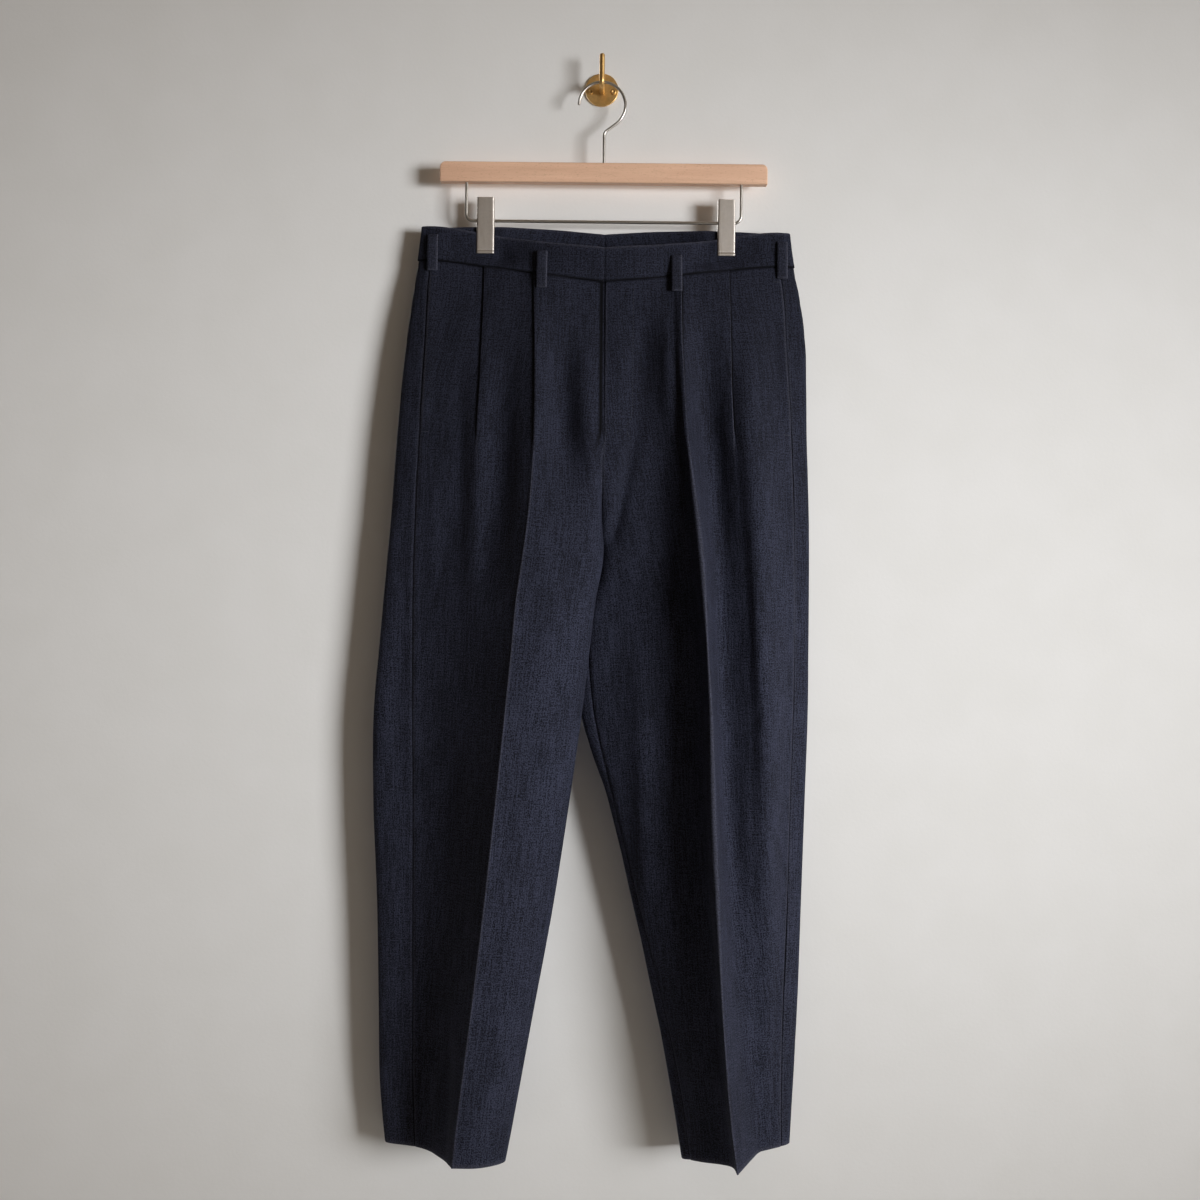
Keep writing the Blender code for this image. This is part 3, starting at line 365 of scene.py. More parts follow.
# The strips behind the fly and the pockets, between two heights
STRIP_TOP_Z, STRIP_END_Z, STRIP_THICK = -229.0, -408.0, 1.0
FLY_INSET, FLY_WIDTH = 2.1, 16.0
POCKET_INSET, POCKET_WIDTH, POCKET_BACK_WIDTH = 1.5, 22.0, 5.0

# The belt loops: how far each stands off in the middle, and how it clears the cloth, is
# crowned and is tucked in at its ends. Each is then placed by its name, x, top and lower end.
LOOP_WIDTH, LOOP_THICK, LOOP_ROWS, LOOP_ACROSS, LOOP_SMOOTH = 10.8, 1.7, 40, 9, 4
LOOP_PROUD = {"front": 1.9, "side": 1.7, "back": 1.5}
LOOP_CLEAR, LOOP_CROWN, LOOP_TUCK, LOOP_END, LOOP_REACH = 0.4, 0.25, 0.3, 0.02, 1.5
LOOP_BOW, LOOP_WEAR, LOOP_END_WEAR, LOOP_END_FADE = 0.45, 0.1, 0.5, 0.03
LOOPS = (
    ("front_left", -65.5, -196.4, -239.0),
    ("front_right", 86.5, -199.3, -241.5),
    ("side_left", -190.6, -175.6, -216.4),
    ("side_right", 207.0, -180.0, -222.0),
    ("back", 5.0, -176.0, -218.0),
)

# How finely the cloth is made: steps in each span of a path, and columns of points
PATH_STEPS = 40
FOLD_STEPS = 4
HIP_ROWS, LEG_ROWS = 110, 116
FRONT_COLUMNS = (27, 19, 34)
BACK_COLUMNS = (27, 16, 27)
BAND_STEPS, BAND_ROWS = 5, 17


def settings():
    """The sizes and colours in the scene that a user may change."""
    return bpy.context.scene.trousers


# ---- Curves and sections ----


def ease(value, start, end):
    """0 at start and 1 at end, with no corner at either: 3 t squared less 2 t cubed."""
    t = np.clip((value - start) / (end - start), 0, 1)
    return t * t * (3 - 2 * t)


def bell(distance, width):
    """1 at no distance and soon 0 past the width: exp of less the square of their ratio."""
    return np.exp(-((distance / width) ** 2))


def wear_and_painted_light_at(name, distance):
    """How far the cloth is rubbed pale or given a painted highlight (above 0), or given painted
    shade (below 0), at a distance from an edge: a bell, by the table of both.
    """
    strength, middle, width = WEAR_AND_PAINTED_LIGHT[name]
    return strength * bell(distance - middle, width)


def pair(across, deep):
    """(out, depth) for each row, from numbers or arrays."""
    return np.stack(np.broadcast_arrays(across, deep), axis=-1).astype(float)


def hermite(t, start, end, leave, arrive):
    """The cubic that starts and ends at two values and leaves and arrives with two slopes."""
    ends = (1 + 2 * t) * (1 - t) ** 2 * start + t * t * (3 - 2 * t) * end
    return ends + t * (1 - t) ** 2 * leave - t * t * (1 - t) * arrive


def slopes(x, y):
    """Slopes of y over x along the last axis: inside, those of parabolas through three
    neighbours, which weigh each span's slope by the other span's width; at the ends, those
    of the end spans."""
    width = np.diff(x, axis=-1)
    steep = np.diff(y, axis=-1) / width
    before, after = width[..., :-1], width[..., 1:]
    inside = (before * steep[..., 1:] + after * steep[..., :-1]) / (before + after)
    return np.concatenate([steep[..., :1], inside, steep[..., -1:]], axis=-1)


def follow(at, x, y):
    """A smooth curve through the points (x, y), x ascending, made of such cubics."""
    slope = slopes(x, y)
    i = np.clip(np.searchsorted(x, at, side="right") - 1, 0, len(x) - 2)
    width = x[i + 1] - x[i]
    return hermite((at - x[i]) / width, y[i], y[i + 1], width * slope[i], width * slope[i + 1])


def read(source, column, z):
    """A table's column at the heights z."""
    return follow(z, source["z"][::-1], source[column][::-1])


def path_through(points, steps=PATH_STEPS):
    """Smooth paths through rows of points, (row, point, 2), with every point met at a whole
    number of steps. The parameter grows by the square root of each chord, which keeps the
    path from overshooting."""
    chords = np.linalg.norm(np.diff(points, axis=1), axis=2)
    knots = np.cumsum(np.sqrt(chords), axis=1)
    knots = np.concatenate([np.zeros((len(points), 1)), knots], axis=1)[:, None, :]
    places = np.swapaxes(points, 1, 2)
    slope = slopes(knots, places)
    width = np.diff(knots, axis=-1)
    t = np.linspace(0, 1, steps, endpoint=False)
    curve = hermite(
        t, places[..., :-1, None], places[..., 1:, None],
        (width * slope[..., :-1])[..., None], (width * slope[..., 1:])[..., None])
    curve = curve.reshape(len(points), 2, -1)
    curve = np.concatenate([curve, places[..., -1:]], axis=-1)
    return np.swapaxes(curve, 1, 2), np.arange(points.shape[1]) * steps


def rounded(points, steps=FOLD_STEPS):
    """Paths through rows of points, which leave each one in the direction between its two
    neighbours, as fast as the span is long. Points that coincide do no harm."""
    turn = np.concatenate([
        points[:, 1:2] - points[:, :1],
        points[:, 2:] - points[:, :-2],
        points[:, -1:] - points[:, -2:-1],
    ], axis=1)
    turn /= np.linalg.norm(turn, axis=2, keepdims=True)
    span = np.linalg.norm(np.diff(points, axis=1), axis=2)[..., None, None]
    t = np.linspace(0, 1, steps, endpoint=False)[:, None]
    curve = hermite(
        t, points[:, :-1, None], points[:, 1:, None],
        span * turn[:, :-1, None], span * turn[:, 1:, None])
    return np.concatenate([curve.reshape(len(points), -1, 2), points[:, -1:]], axis=1)


def lengths_along(path):
    """The length along each row's path at each of its points."""
    steps = np.linalg.norm(np.diff(path, axis=1), axis=2)
    return np.concatenate([np.zeros((len(path), 1)), np.cumsum(steps, axis=1)], axis=1)


def along(path, lengths, at):
    """Points at the lengths "at" along each row's path, by straight steps between its points.
    Each row is lifted clear of the one before, so that one search serves them all."""
    rows, count = lengths.shape
    lift = np.arange(rows)[:, None] * ROW_LIFT
    after = np.searchsorted((lengths + lift).ravel(), (at + lift).ravel()).reshape(at.shape)
    after = np.clip(after - np.arange(rows)[:, None] * count, 1, count - 1)
    start = np.take_along_axis(lengths, after - 1, 1)
    end = np.take_along_axis(lengths, after, 1)
    share = np.clip((at - start) / np.maximum(end - start, 1e-9), 0, 1)[..., None]
    before = np.take_along_axis(path, after[..., None] - 1, 1)
    return before + share * (np.take_along_axis(path, after[..., None], 1) - before)


def left_of(path, lengths, at):
    """Unit vectors to the left of each row's path, at the lengths "at"."""
    run = along(path, lengths, at + TANGENT_STEP) - along(path, lengths, at - TANGENT_STEP)
    run /= np.linalg.norm(run, axis=2, keepdims=True)
    return np.stack([-run[..., 1], run[..., 0]], axis=-1)


def spread(start, stop, count):
    """Lengths from start to stop in each row, closer together at both ends."""
    share = np.linspace(0, 1, count)
    share = share - 0.5 * np.sin(2 * math.pi * share) / (2 * math.pi)
    return start[:, None] + (stop - start)[:, None] * share


def key_points(side, z):
    """The named points of one leg's sections at the heights z, as (out, depth)."""
    outer, inner = OUTER[side], INNER[side]
    named = {
        name: pair(read(source, name, z), read(source, f"{name}_depth", z))
        for source, names in ((outer, "crease swell hollow second"), (inner, "bend tuck inseam"))
        for name in names.split()}
    crease, bend, tuck, inseam = (named[name] for name in ("crease", "bend", "tuck", "inseam"))
    seam_depth = read(outer, "seam_depth", z)
    edge = pair(read(outer, "edge", z), EDGE_SHARE * seam_depth + EDGE_DEPTH)
    pulled = ease(z, CLIP_PULL_END, WAIST_Z)
    back_depth = BACK_DEPTH + CLIP_PULL * pulled
    facet = crease + FACET_AT[side] * (bend - crease) + pair(0, read(inner, "facet", z))
    turn = np.clip(read(RISE, "turn", z), 0, 1)
    half_gap = SEAM_GAP / 2 + (TURN_WALL + TURN_EASE) * turn
    front = pair(half_gap, read(RISE, "front_depth", z))
    back = pair(half_gap, read(RISE, "back_depth", z))
    turn = turn[:, None]
    mirror = np.array([-1.0, 1.0])
    run = np.array([0.0, CROTCH_RUN])
    above = (z > CROTCH_Z)[:, None]
    settled = ease(z, CROTCH_Z, CROTCH_SETTLE_Z)[:, None]
    return {
        **named, "edge": edge, "facet": facet,
        "back_crease": pair(0.5 * (edge[:, 0] + np.maximum(tuck[:, 0], 0)), back_depth),
        "seam": pair(read(outer, "seam", z), seam_depth),
        "round": pair(edge[:, 0] - ROUND_OUT, ROUND_SHARE * edge[:, 1] + ROUND_PULL * pulled),
        "flank": pair(edge[:, 0] - FLANK_OUT, back_depth + FLANK_DEPTH),
        "front_end": np.where(above, front, inseam),
        "back_end": np.where(above, back, inseam),
        "past_front": np.where(
            above, (1 - turn) * bend * mirror + turn * (front - run),
            settled * tuck + (1 - settled) * (inseam - run)),
        "past_back": np.where(
            above, (1 - turn) * tuck * mirror + turn * (back + run),
            settled * bend + (1 - settled) * (inseam + run)),
    }


def through(points, names):
    """The smooth path through some of a section's named points, and where it meets each."""
    return path_through(np.stack([points[name] for name in names.split()], axis=1))


def front_path(side, z):
    """The fronts' sections without pleats, from the side seam past the fly or the inseam, and
    the lengths of the second pleat, the crease and the end."""
    k = key_points(side, z)
    outer, marks = through(k, "round edge seam swell second hollow crease")
    inner, ends = through(k, "crease facet bend front_end past_front")
    path = np.concatenate([outer[:, marks[2]:], inner[:, 1:]], axis=1)
    lengths = lengths_along(path)
    crease = marks[6] - marks[2]
    second = lengths[:, marks[4] - marks[2]]
    return path, lengths, second, lengths[:, crease], lengths[:, crease + ends[3]]


def back_path(side, z):
    """The backs' sections, from the side seam round the outline's edge past the centre back
    or the inseam, and the lengths of the back crease and the end."""
    k = key_points(side, z)
    outer, marks = through(k, "swell seam edge round flank back_crease")
    inner, ends = through(k, "back_crease tuck back_end past_back")
    path = np.concatenate([outer[:, marks[1]:], inner[:, 1:]], axis=1)
    lengths = lengths_along(path)
    crease = marks[5] - marks[1]
    return path, lengths, lengths[:, crease], lengths[:, crease + ends[2]]


def fold_profile(z, name):
    """Across a pleat: how far each column lies along the section from the fold's edge, and
    how far it stands off. The cloth runs in under the pleat, turns back out to the edge, and
    turns again to lie on top; below run_out the three layers open into one."""
    folded, run_out, smooth_z = PLEATS[name]
    under = folded * (1 - ease(z, FOLD_START_Z, run_out))
    opened = ease(z, run_out, smooth_z)[:, None]
    half = (PITCH_AT_SEAM + (PITCH_BELOW - PITCH_AT_SEAM) * ease(z, WAIST_Z, PITCH_FREE_Z)) / 2
    zero = np.zeros_like(z)
    at = np.stack([
        zero - FOLD_MARGIN, zero, under, under + half, under, zero, -half, zero,
        under + FOLD_MARGIN], axis=1)
    off = half[:, None] * np.array([0, 0, 0, 1, 2, 2, 3, 4, 4])
    flat = FOLD_MARGIN * np.array([-1, -0.85, -0.7, -0.55, -0.4, -0.2, 0, 0.5, 1])
    points = np.stack([(1 - opened) * at + opened * flat, (1 - opened) * off], axis=-1)
    curve = rounded(points)
    return curve[..., 0], curve[..., 1], opened[:, 0]


def relief(creases, out, z):
    """The sum of soft ridges and troughs at (out, z): each is a bell across its line, times a
    half wave along it that is 0 at both ends."""
    total = np.zeros(np.broadcast(out, z).shape)
    rows = zip(*(creases[name] for name in CREASE_COLUMNS.split()))
    for start_out, start_z, end_out, end_z, width, height in rows:
        run_out, run_z = end_out - start_out, end_z - start_z
        length = math.hypot(run_out, run_z)
        t = ((out - start_out) * run_out + (z - start_z) * run_z) / length ** 2
        aside = ((out - start_out) * run_z - (z - start_z) * run_out) / length
        wave = np.sin(math.pi * np.clip(t, 0, 1)) ** CREASE_FADE
        total += height * wave * bell(aside, width)
    return total


def seam_relief(distance):
    """Beside a sewn edge: the cloth dips into the seam and swells over its allowance."""
    dip = SEAM_DIP * bell(distance, SEAM_DIP_WIDTH)
    swell = SEAM_SWELL * bell(distance - SEAM_SWELL_AT, SEAM_SWELL_WIDTH)
    return swell - dip


def edge_height(side, out, source, column):
    """An edge's height at a distance out, with the tilt of the waist."""
    tilt = WAIST_TILT if side == "left" else -WAIST_TILT
    within = np.clip(out, source["out"][0], source["out"][-1])
    return follow(within, source["out"], source[column]) + tilt * out


def heights(side, out, z, column):
    """Each point's height: its row's, moved by the slope of the waist seam and of the hem."""
    rise = edge_height(side, out, WAIST_SEAM, column) - WAIST_Z
    rise = rise * (1 - ease(z, WAIST_Z, SEAM_LEVEL_Z))
    drop = np.interp(out, HEM[side]["out"], HEM[side]["z"]) - HEM_Z
    return z + rise + drop * ease(z, HEM_LEVEL_Z, HEM_Z)


def in_space(side, out, depth, z):
    """(out, depth, z) in millimetres to a place in metres."""
    sign = -1.0 if side == "left" else 1.0
    return np.stack(np.broadcast_arrays(CENTRE_X + sign * out, -depth, z), axis=-1) * MM


def weave_map(grid, origin):
    """A cloth's own (across, down) in metres: the length along each row from the column
    "origin", and the height."""
    lengths = lengths_along(grid)
    return np.stack([lengths - lengths[:, origin:origin + 1], grid[..., 2]], axis=-1)


ROWS = np.concatenate([
    np.linspace(WAIST_Z, KNEE_ROWS_Z, HIP_ROWS)[:-1],
    np.linspace(KNEE_ROWS_Z, HEM_Z, LEG_ROWS)])
STRIP_ROWS = np.flatnonzero((ROWS < STRIP_TOP_Z) & (ROWS > STRIP_END_Z))


def spaced(side, places, column):
    """A panel's (out, depth) points in metres, its top row a little lower, under the band."""
    out, depth = places[..., 0], places[..., 1]
    grid = in_space(side, out, depth, heights(side, out, ROWS[:, None], column))
    grid[0, :, 2] -= TOP_TUCK * MM
    return grid


def most(*amounts):
    """The largest of several amounts at each point."""
    return functools.reduce(np.maximum, amounts)


@functools.cache
def front_cloth(side):
    """A front: its section's path at every height, moved out by the pleats' folds, the
    pressed crease, the seams and the soft creases."""
    path, lengths, second_at, crease_at, end_at = front_path(side, ROWS)
    z = ROWS[:, None]
    lap = 1 - ease(ROWS, LAP_TOP_Z, LAP_END_Z)
    reach = LAP_LEFT if side == "left" else -LAP_RIGHT
    first = np.full(len(ROWS), SEAM_GAP / 2)
    last = end_at - np.where(ROWS > CROTCH_Z, 0, SEAM_GAP / 2) + reach * lap
    second, second_off, _ = fold_profile(ROWS, "second")
    crease, crease_off, opened = fold_profile(ROWS, "crease")
    second = second + second_at[:, None]
    crease = crease + crease_at[:, None]
    outer = spread(first, second[:, 0], FRONT_COLUMNS[0])[:, :-1]
    middle = spread(second[:, -1], crease[:, 0], FRONT_COLUMNS[1])[:, 1:-1]
    inner = spread(crease[:, -1], last, FRONT_COLUMNS[2])[:, 1:]
    at = np.concatenate([outer, second, middle, crease, inner], axis=1)
    fades = [
        layers[:, -1:] * (1 - ease(beside - fold[:, -1:], 0, LAYER_FADE))
        for layers, beside, fold in ((second_off, middle, second), (crease_off, inner, crease))]
    off = np.concatenate(
        [np.zeros_like(outer), second_off, fades[0], crease_off, fades[1]], axis=1)
    base = along(path, lengths, at)
    from_seam, from_crease, from_end = (
        at - first[:, None], at - crease_at[:, None], last[:, None] - at)
    lap = lap[:, None]
    press = (read(OUTER[side], "press", ROWS) * opened)[:, None]
    off = off + relief(FRONT_CREASES[side], base[..., 0], z)
    off += PRESS_HEIGHT * press * bell(from_crease, PRESS_WIDTH)
    off += seam_relief(from_seam)
    off += seam_relief(from_end) * ease(z, CROTCH_Z, CROTCH_SETTLE_Z)
    pocket = ease(z, POCKET_TOP_Z, POCKET_TOP_Z - POCKET_RISE)
    pocket = pocket * ease(z, POCKET_END_Z, POCKET_END_Z + POCKET_CLOSE)
    off += settings().pocket_lift / MM * pocket * bell(from_seam, POCKET_FALL)
    lapped = LAP_RAISED if side == "right" else -LAP_SUNK
    off += lapped * lap * (1 - ease(from_end, LAP_RUN * 0.6, LAP_RUN * 1.6))
    grid = spaced(side, base - off[..., None] * left_of(path, lengths, at), "front_z")
    column = np.arange(at.shape[1])
    turn = 6 * FOLD_STEPS
    before_crease = outer.shape[1] + second.shape[1] + middle.shape[1]
    folds = (outer.shape[1] + turn, before_crease + turn)
    shut = 1 - opened[:, None]
    wear_and_painted_light = most(
        wear_and_painted_light_at("crease", from_crease) * press, wear_and_painted_light_at("seam", from_seam),
        wear_and_painted_light_at("front_end", from_end), wear_and_painted_light_at("hem", z - HEM_Z),
        *(wear_and_painted_light_at("fold", column - fold) * shut for fold in folds))
    # Painted shade: near-black lines beside each pleat's fold, in the waist seam, in the side
    # seam and, on the left front, beside the fly's lap.
    for fold in folds:
        beneath = (column < fold - 4 * FOLD_STEPS) * shut
        wear_and_painted_light = wear_and_painted_light + wear_and_painted_light_at("fold_painted_shade", at - at[:, fold:fold + 1]) * beneath
    wear_and_painted_light = wear_and_painted_light + wear_and_painted_light_at("front_waist_painted_shade", z - WAIST_Z) + wear_and_painted_light_at("front_side_painted_shade", from_seam)
    if side == "left":
        wear_and_painted_light = wear_and_painted_light + wear_and_painted_light_at("fly_painted_shade", from_end) * lap
    return {
        "grid": grid, "wear_and_painted_light": wear_and_painted_light, "weave": weave_map(grid, folds[1]), "at": at,
        "end": from_end}


@functools.cache
def back_cloth(side):
    """A back: its section's path at every height, moved by its crease, seams and soft creases."""
    path, lengths, crease_at, end_at = back_path(side, ROWS)
    z = ROWS[:, None]
    first = np.full(len(ROWS), SEAM_GAP / 2)
    last = end_at - np.where(ROWS > CROTCH_Z, 0, SEAM_GAP / 2)
    wrap = np.full(len(ROWS), WRAP)
    at = np.concatenate([
        spread(first, wrap, BACK_COLUMNS[0])[:, :-1],
        spread(wrap, crease_at, BACK_COLUMNS[1])[:, :-1],
        spread(crease_at, last, BACK_COLUMNS[2]),
    ], axis=1)
    base = along(path, lengths, at)
    from_seam, from_crease, from_end = (
        at - first[:, None], at - crease_at[:, None], last[:, None] - at)
    press = read(OUTER[side], "press", ROWS)[:, None]
    off = relief(BACK_CREASES[side], base[..., 0], z) * ease(z, WAIST_Z, WAIST_Z - BACK_SETTLE)
    off += PRESS_HEIGHT * press * bell(from_crease, PRESS_WIDTH)
    off += seam_relief(from_seam) + seam_relief(from_end)
    places = base + off[..., None] * left_of(path, lengths, at)
    places[..., 1] = np.maximum(places[..., 1], WALL_CLEAR)
    grid = spaced(side, places, "back_z")
    wear_and_painted_light = most(
        wear_and_painted_light_at("crease", from_crease) * press, wear_and_painted_light_at("seam", from_seam),
        wear_and_painted_light_at("back_end", from_end), wear_and_painted_light_at("hem", z - HEM_Z))
    # Painted shade: near-black lines in the side seam and in the waist seam.
    wear_and_painted_light = wear_and_painted_light + wear_and_painted_light_at("back_side_painted_shade", from_seam) + wear_and_painted_light_at("back_waist_painted_shade", z - WAIST_Z)
    return {"grid": grid, "wear_and_painted_light": wear_and_painted_light, "weave": weave_map(grid, 0), "at": at, "end": from_end}


def band_columns(turn_lengths, total, seam_at):
    """Lengths along a waistband's path: even steps across the front, short ones round the
    side and even ones across the back, each step then cut into finer ones."""
    front = np.linspace(SEAM_GAP / 2, seam_at, BAND_FRONT)
    side = seam_at + np.array(turn_lengths)
    back = np.linspace(side[-1], total - SEAM_GAP / 2, BAND_BACK + 1)[1:]
    coarse = np.concatenate([front, side, back])
    fine = np.linspace(0, len(coarse) - 1, (len(coarse) - 1) * BAND_STEPS + 1)
    return follow(fine, np.arange(len(coarse)).astype(float), coarse)[None]


@functools.cache
def band_cloth(side):
    """Half of the waistband, from its lower edge, on the panels, to its top: straight between
    the two, but where a clip holds it it keeps to the top edge's line further down. The back
    is drawn in by soft puckers."""
    level = np.array([WAIST_Z])
    front, front_lengths, _, _, end = front_path(side, level)
    front = front[:, :np.searchsorted(front_lengths[0], end[0] + 1e-6)][:, ::-1]
    back, back_lengths, _, end = back_path(side, level)
    back = back[:, 1:np.searchsorted(back_lengths[0], end[0] + 1e-6)]
    low = np.concatenate([front, back], axis=1)
    lengths = lengths_along(low)
    at = band_columns(BAND_TURN_LOW, lengths[0, -1], lengths[0, front.shape[1] - 1])
    low = (along(low, lengths, at) + BAND_OUT * left_of(low, lengths, at))[0]
    points = pair(BAND_TOP["out"], BAND_TOP["depth"])
    points[:, 0] *= BAND_TOP_REACH[side] / BAND_TOP_REACH["left"]
    high, marks = path_through(points[None])
    lengths = lengths_along(high)
    at = band_columns(BAND_TURN_TOP, lengths[0, -1], lengths[0, marks[BAND_SEAM_INDEX]])
    high_left = left_of(high, lengths, at)[0]
    high = along(high, lengths, at)[0]

    share = np.linspace(0, 1, BAND_ROWS)[:, None]
    coarse = np.arange(len(low)) / BAND_STEPS
    behind = ease(coarse, *BAND_BEHIND)
    pinched = np.exp(-((high[:, 0] - PINCH_AT) / PINCH_REACH) ** 4)
    held = PINCH_SHARE_FRONT + (PINCH_SHARE_BACK - PINCH_SHARE_FRONT) * behind
    early = ease(share, 0, held)
    reach = (share * (1 - pinched) + early * pinched)[..., None]
    places = low + reach * (high - low)
    out = places[..., 0]
    pucker = sum(height * np.sin(out * rate + start) for height, rate, start in PUCKER_WAVES)
    pucker *= behind * (1 - ease(out, *PUCKER_OUT)) * np.sin(math.pi * share)
    pucker *= settings().pucker / MM
    pucker += relief(BAND_CREASES, out, 100 * share) * (1 - behind)
    places = places + pucker[..., None] * high_left
    out, depth = places[..., 0], places[..., 1]
    low_z, high_z = [
        (1 - behind) * edge_height(side, out, source, "front_z")
        + behind * edge_height(side, out, source, "back_z")
        for source in (WAIST_SEAM, BAND_TOP_HEIGHT)]
    low_z = low_z + BAND_LIFT
    grid = in_space(side, out, depth, low_z + share * (high_z - low_z))
    # A pale, rubbed top edge, and painted shade along the lower edge in the waist seam.
    wear_and_painted_light = wear_and_painted_light_at("band_top", share) + wear_and_painted_light_at("band_painted_shade", share)
    return {"grid": grid, "wear_and_painted_light": np.broadcast_to(wear_and_painted_light, out.shape), "weave": weave_map(grid, 0)}


# ---- Meshes ----


def linked(name, data):
    """A new object in the scene that holds a mesh, a light or a camera."""
    obj = bpy.data.objects.new(name, data)
    bpy.context.scene.collection.objects.link(obj)
    return obj


def mesh_object(name, vertices, faces, finish):
    """A piece from its vertices and lists of faces, turned so that its faces point outwards:
    the volume that they enclose, a sixth of the sum of their corners' products, is positive."""
    mesh = bpy.data.meshes.new(name)
    faces = [face for group in faces for face in group.tolist()]
    mesh.from_pydata(vertices.tolist(), [], faces)
    mesh.calc_loop_triangles()
    corners = np.empty(len(mesh.loop_triangles) * 3, np.int32)
    mesh.loop_triangles.foreach_get("vertices", corners)
    a, b, c = np.swapaxes(vertices[corners.reshape(-1, 3)], 0, 1)
    if np.einsum("ij,ij->", a, np.cross(b, c)) < 0:
        mesh.flip_normals()
    mesh.shade_smooth()
    mesh.validate()
    obj = linked(name, mesh)
    mesh.materials.append(finish)
    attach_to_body(obj, BODY)
    return obj


def attach(obj, wear_and_painted_light, weave):
    """Gives a cloth piece its pale rubbed edges and its painted shade and highlight, a number at
    each point, and its weave map.
    """
    mesh = obj.data
    layer = mesh.attributes.new("wear_and_painted_light", "FLOAT", "POINT")
    layer.data.foreach_set("value", np.ascontiguousarray(wear_and_painted_light, np.float32))
    index = np.empty(len(mesh.loops), np.int32)
    mesh.loops.foreach_get("vertex_index", index)
    uv = mesh.uv_layers.new(name="weave")
    uv.data.foreach_set("uv", np.ascontiguousarray(weave[index], np.float32).ravel())


def grid_normals(grid):
    """A grid's unit normals: the product of its slopes down and across."""
    across, down = np.gradient(grid, axis=1), np.gradient(grid, axis=0)
    normal = np.cross(down, across)
    return normal / np.linalg.norm(normal, axis=-1)[..., None]


def grid_faces(rows, columns):
    """The four-cornered faces between neighbours of a grid whose points are counted by row."""
    index = np.arange(rows * columns).reshape(rows, columns)
    corners = [index[:-1, :-1], index[1:, :-1], index[1:, 1:], index[:-1, 1:]]
    return np.stack(corners, axis=-1).reshape(-1, 4)


def band_faces(index):
    """The four-cornered faces between closed rings, from the numbers of their points."""
    ahead = np.roll(index, -1, axis=1)
    return np.stack([index[:-1], index[1:], ahead[1:], ahead[:-1]], axis=-1).reshape(-1, 4)


def shell(name, cloth, thickness, finish, inner_step=0.0):
    """A wall of cloth about a grid: the grid moved half the thickness out and half in along
    its normals, joined by a rim that stands a little past the edge, as a turned or
    cut edge does. inner_step moves parts of the inner side further in. Both are in
    millimetres."""
    grid = cloth["grid"]
    rows, columns = grid.shape[:2]
    normal = grid_normals(grid)
    half = thickness / 2 * MM
    inset = half + inner_step * MM
    down = np.concatenate([
        np.zeros(columns), np.arange(1, rows), np.full(columns - 1, rows - 1),
        np.arange(rows - 2, 0, -1)]).astype(int)
    over = np.concatenate([
        np.arange(columns), np.full(rows - 1, columns - 1), np.arange(columns - 2, -1, -1),
        np.zeros(rows - 2)]).astype(int)
    inside = grid[np.clip(down, 1, rows - 2), np.clip(over, 1, columns - 2)]
    push = grid[down, over] - inside
    push /= np.linalg.norm(push, axis=1)[:, None]
    outer, inner = grid + half * normal, grid - inset * normal
    rim = (outer[down, over] + inner[down, over]) / 2 + half * RIM_SHARE * push
    vertices = np.concatenate([outer.reshape(-1, 3), inner.reshape(-1, 3), rim])
    size = rows * columns
    face = grid_faces(rows, columns)
    edge = down * columns + over
    middle = 2 * size + np.arange(len(edge))
    after_edge, after_middle = np.roll(edge, -1), np.roll(middle, -1)
    faces = [
        face, face[:, ::-1] + size,
        np.stack([edge, after_edge, after_middle, middle], axis=1),
        np.stack([middle, after_middle, after_edge + size, edge + size], axis=1)]
    obj = mesh_object(name, vertices, faces, finish)
    wear_and_painted_light = np.asarray(cloth["wear_and_painted_light"]).ravel()
    weave = cloth["weave"].reshape(-1, 2)
    attach(
        obj, np.concatenate([wear_and_painted_light, wear_and_painted_light * INNER_WEAR_AND_PAINTED_LIGHT, wear_and_painted_light[edge]]),
        np.concatenate([weave, weave, weave[edge]]))
    return obj


def turned(cloth):
    """The same cloth with its columns in the other order, which turns its outside round."""
    return {key: value[:, ::-1] for key, value in cloth.items()}


def loft(name, rings, finish):
    """A closed solid through rings of points, (ring, point, 3), its two ends drawn together
    to a point in the middle of the first and of the last ring."""
    count, around = rings.shape[:2]
    index = np.arange(count * around).reshape(count, around)
    sides, ahead = band_faces(index), np.roll(index, -1, axis=1)
    poles = count * around + np.arange(2)
    ends = [
        np.stack([np.full(around, poles[0]), index[0], ahead[0]], axis=1),
        np.stack([np.full(around, poles[1]), ahead[-1], index[-1]], axis=1)]
    middle = np.stack([rings[0].mean(axis=0), rings[-1].mean(axis=0)])
    vertices = np.concatenate([rings.reshape(-1, 3), middle])
    return mesh_object(name, vertices, [sides, *ends], finish)


def settle(obj, node_name, sharp=None):
    """Hides the node that a piece replaces, and keeps edges sharper than an angle in degrees
    crisp."""
    if sharp:
        obj.data.set_sharp_from_angle(angle=math.radians(sharp))
    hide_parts(node_name)


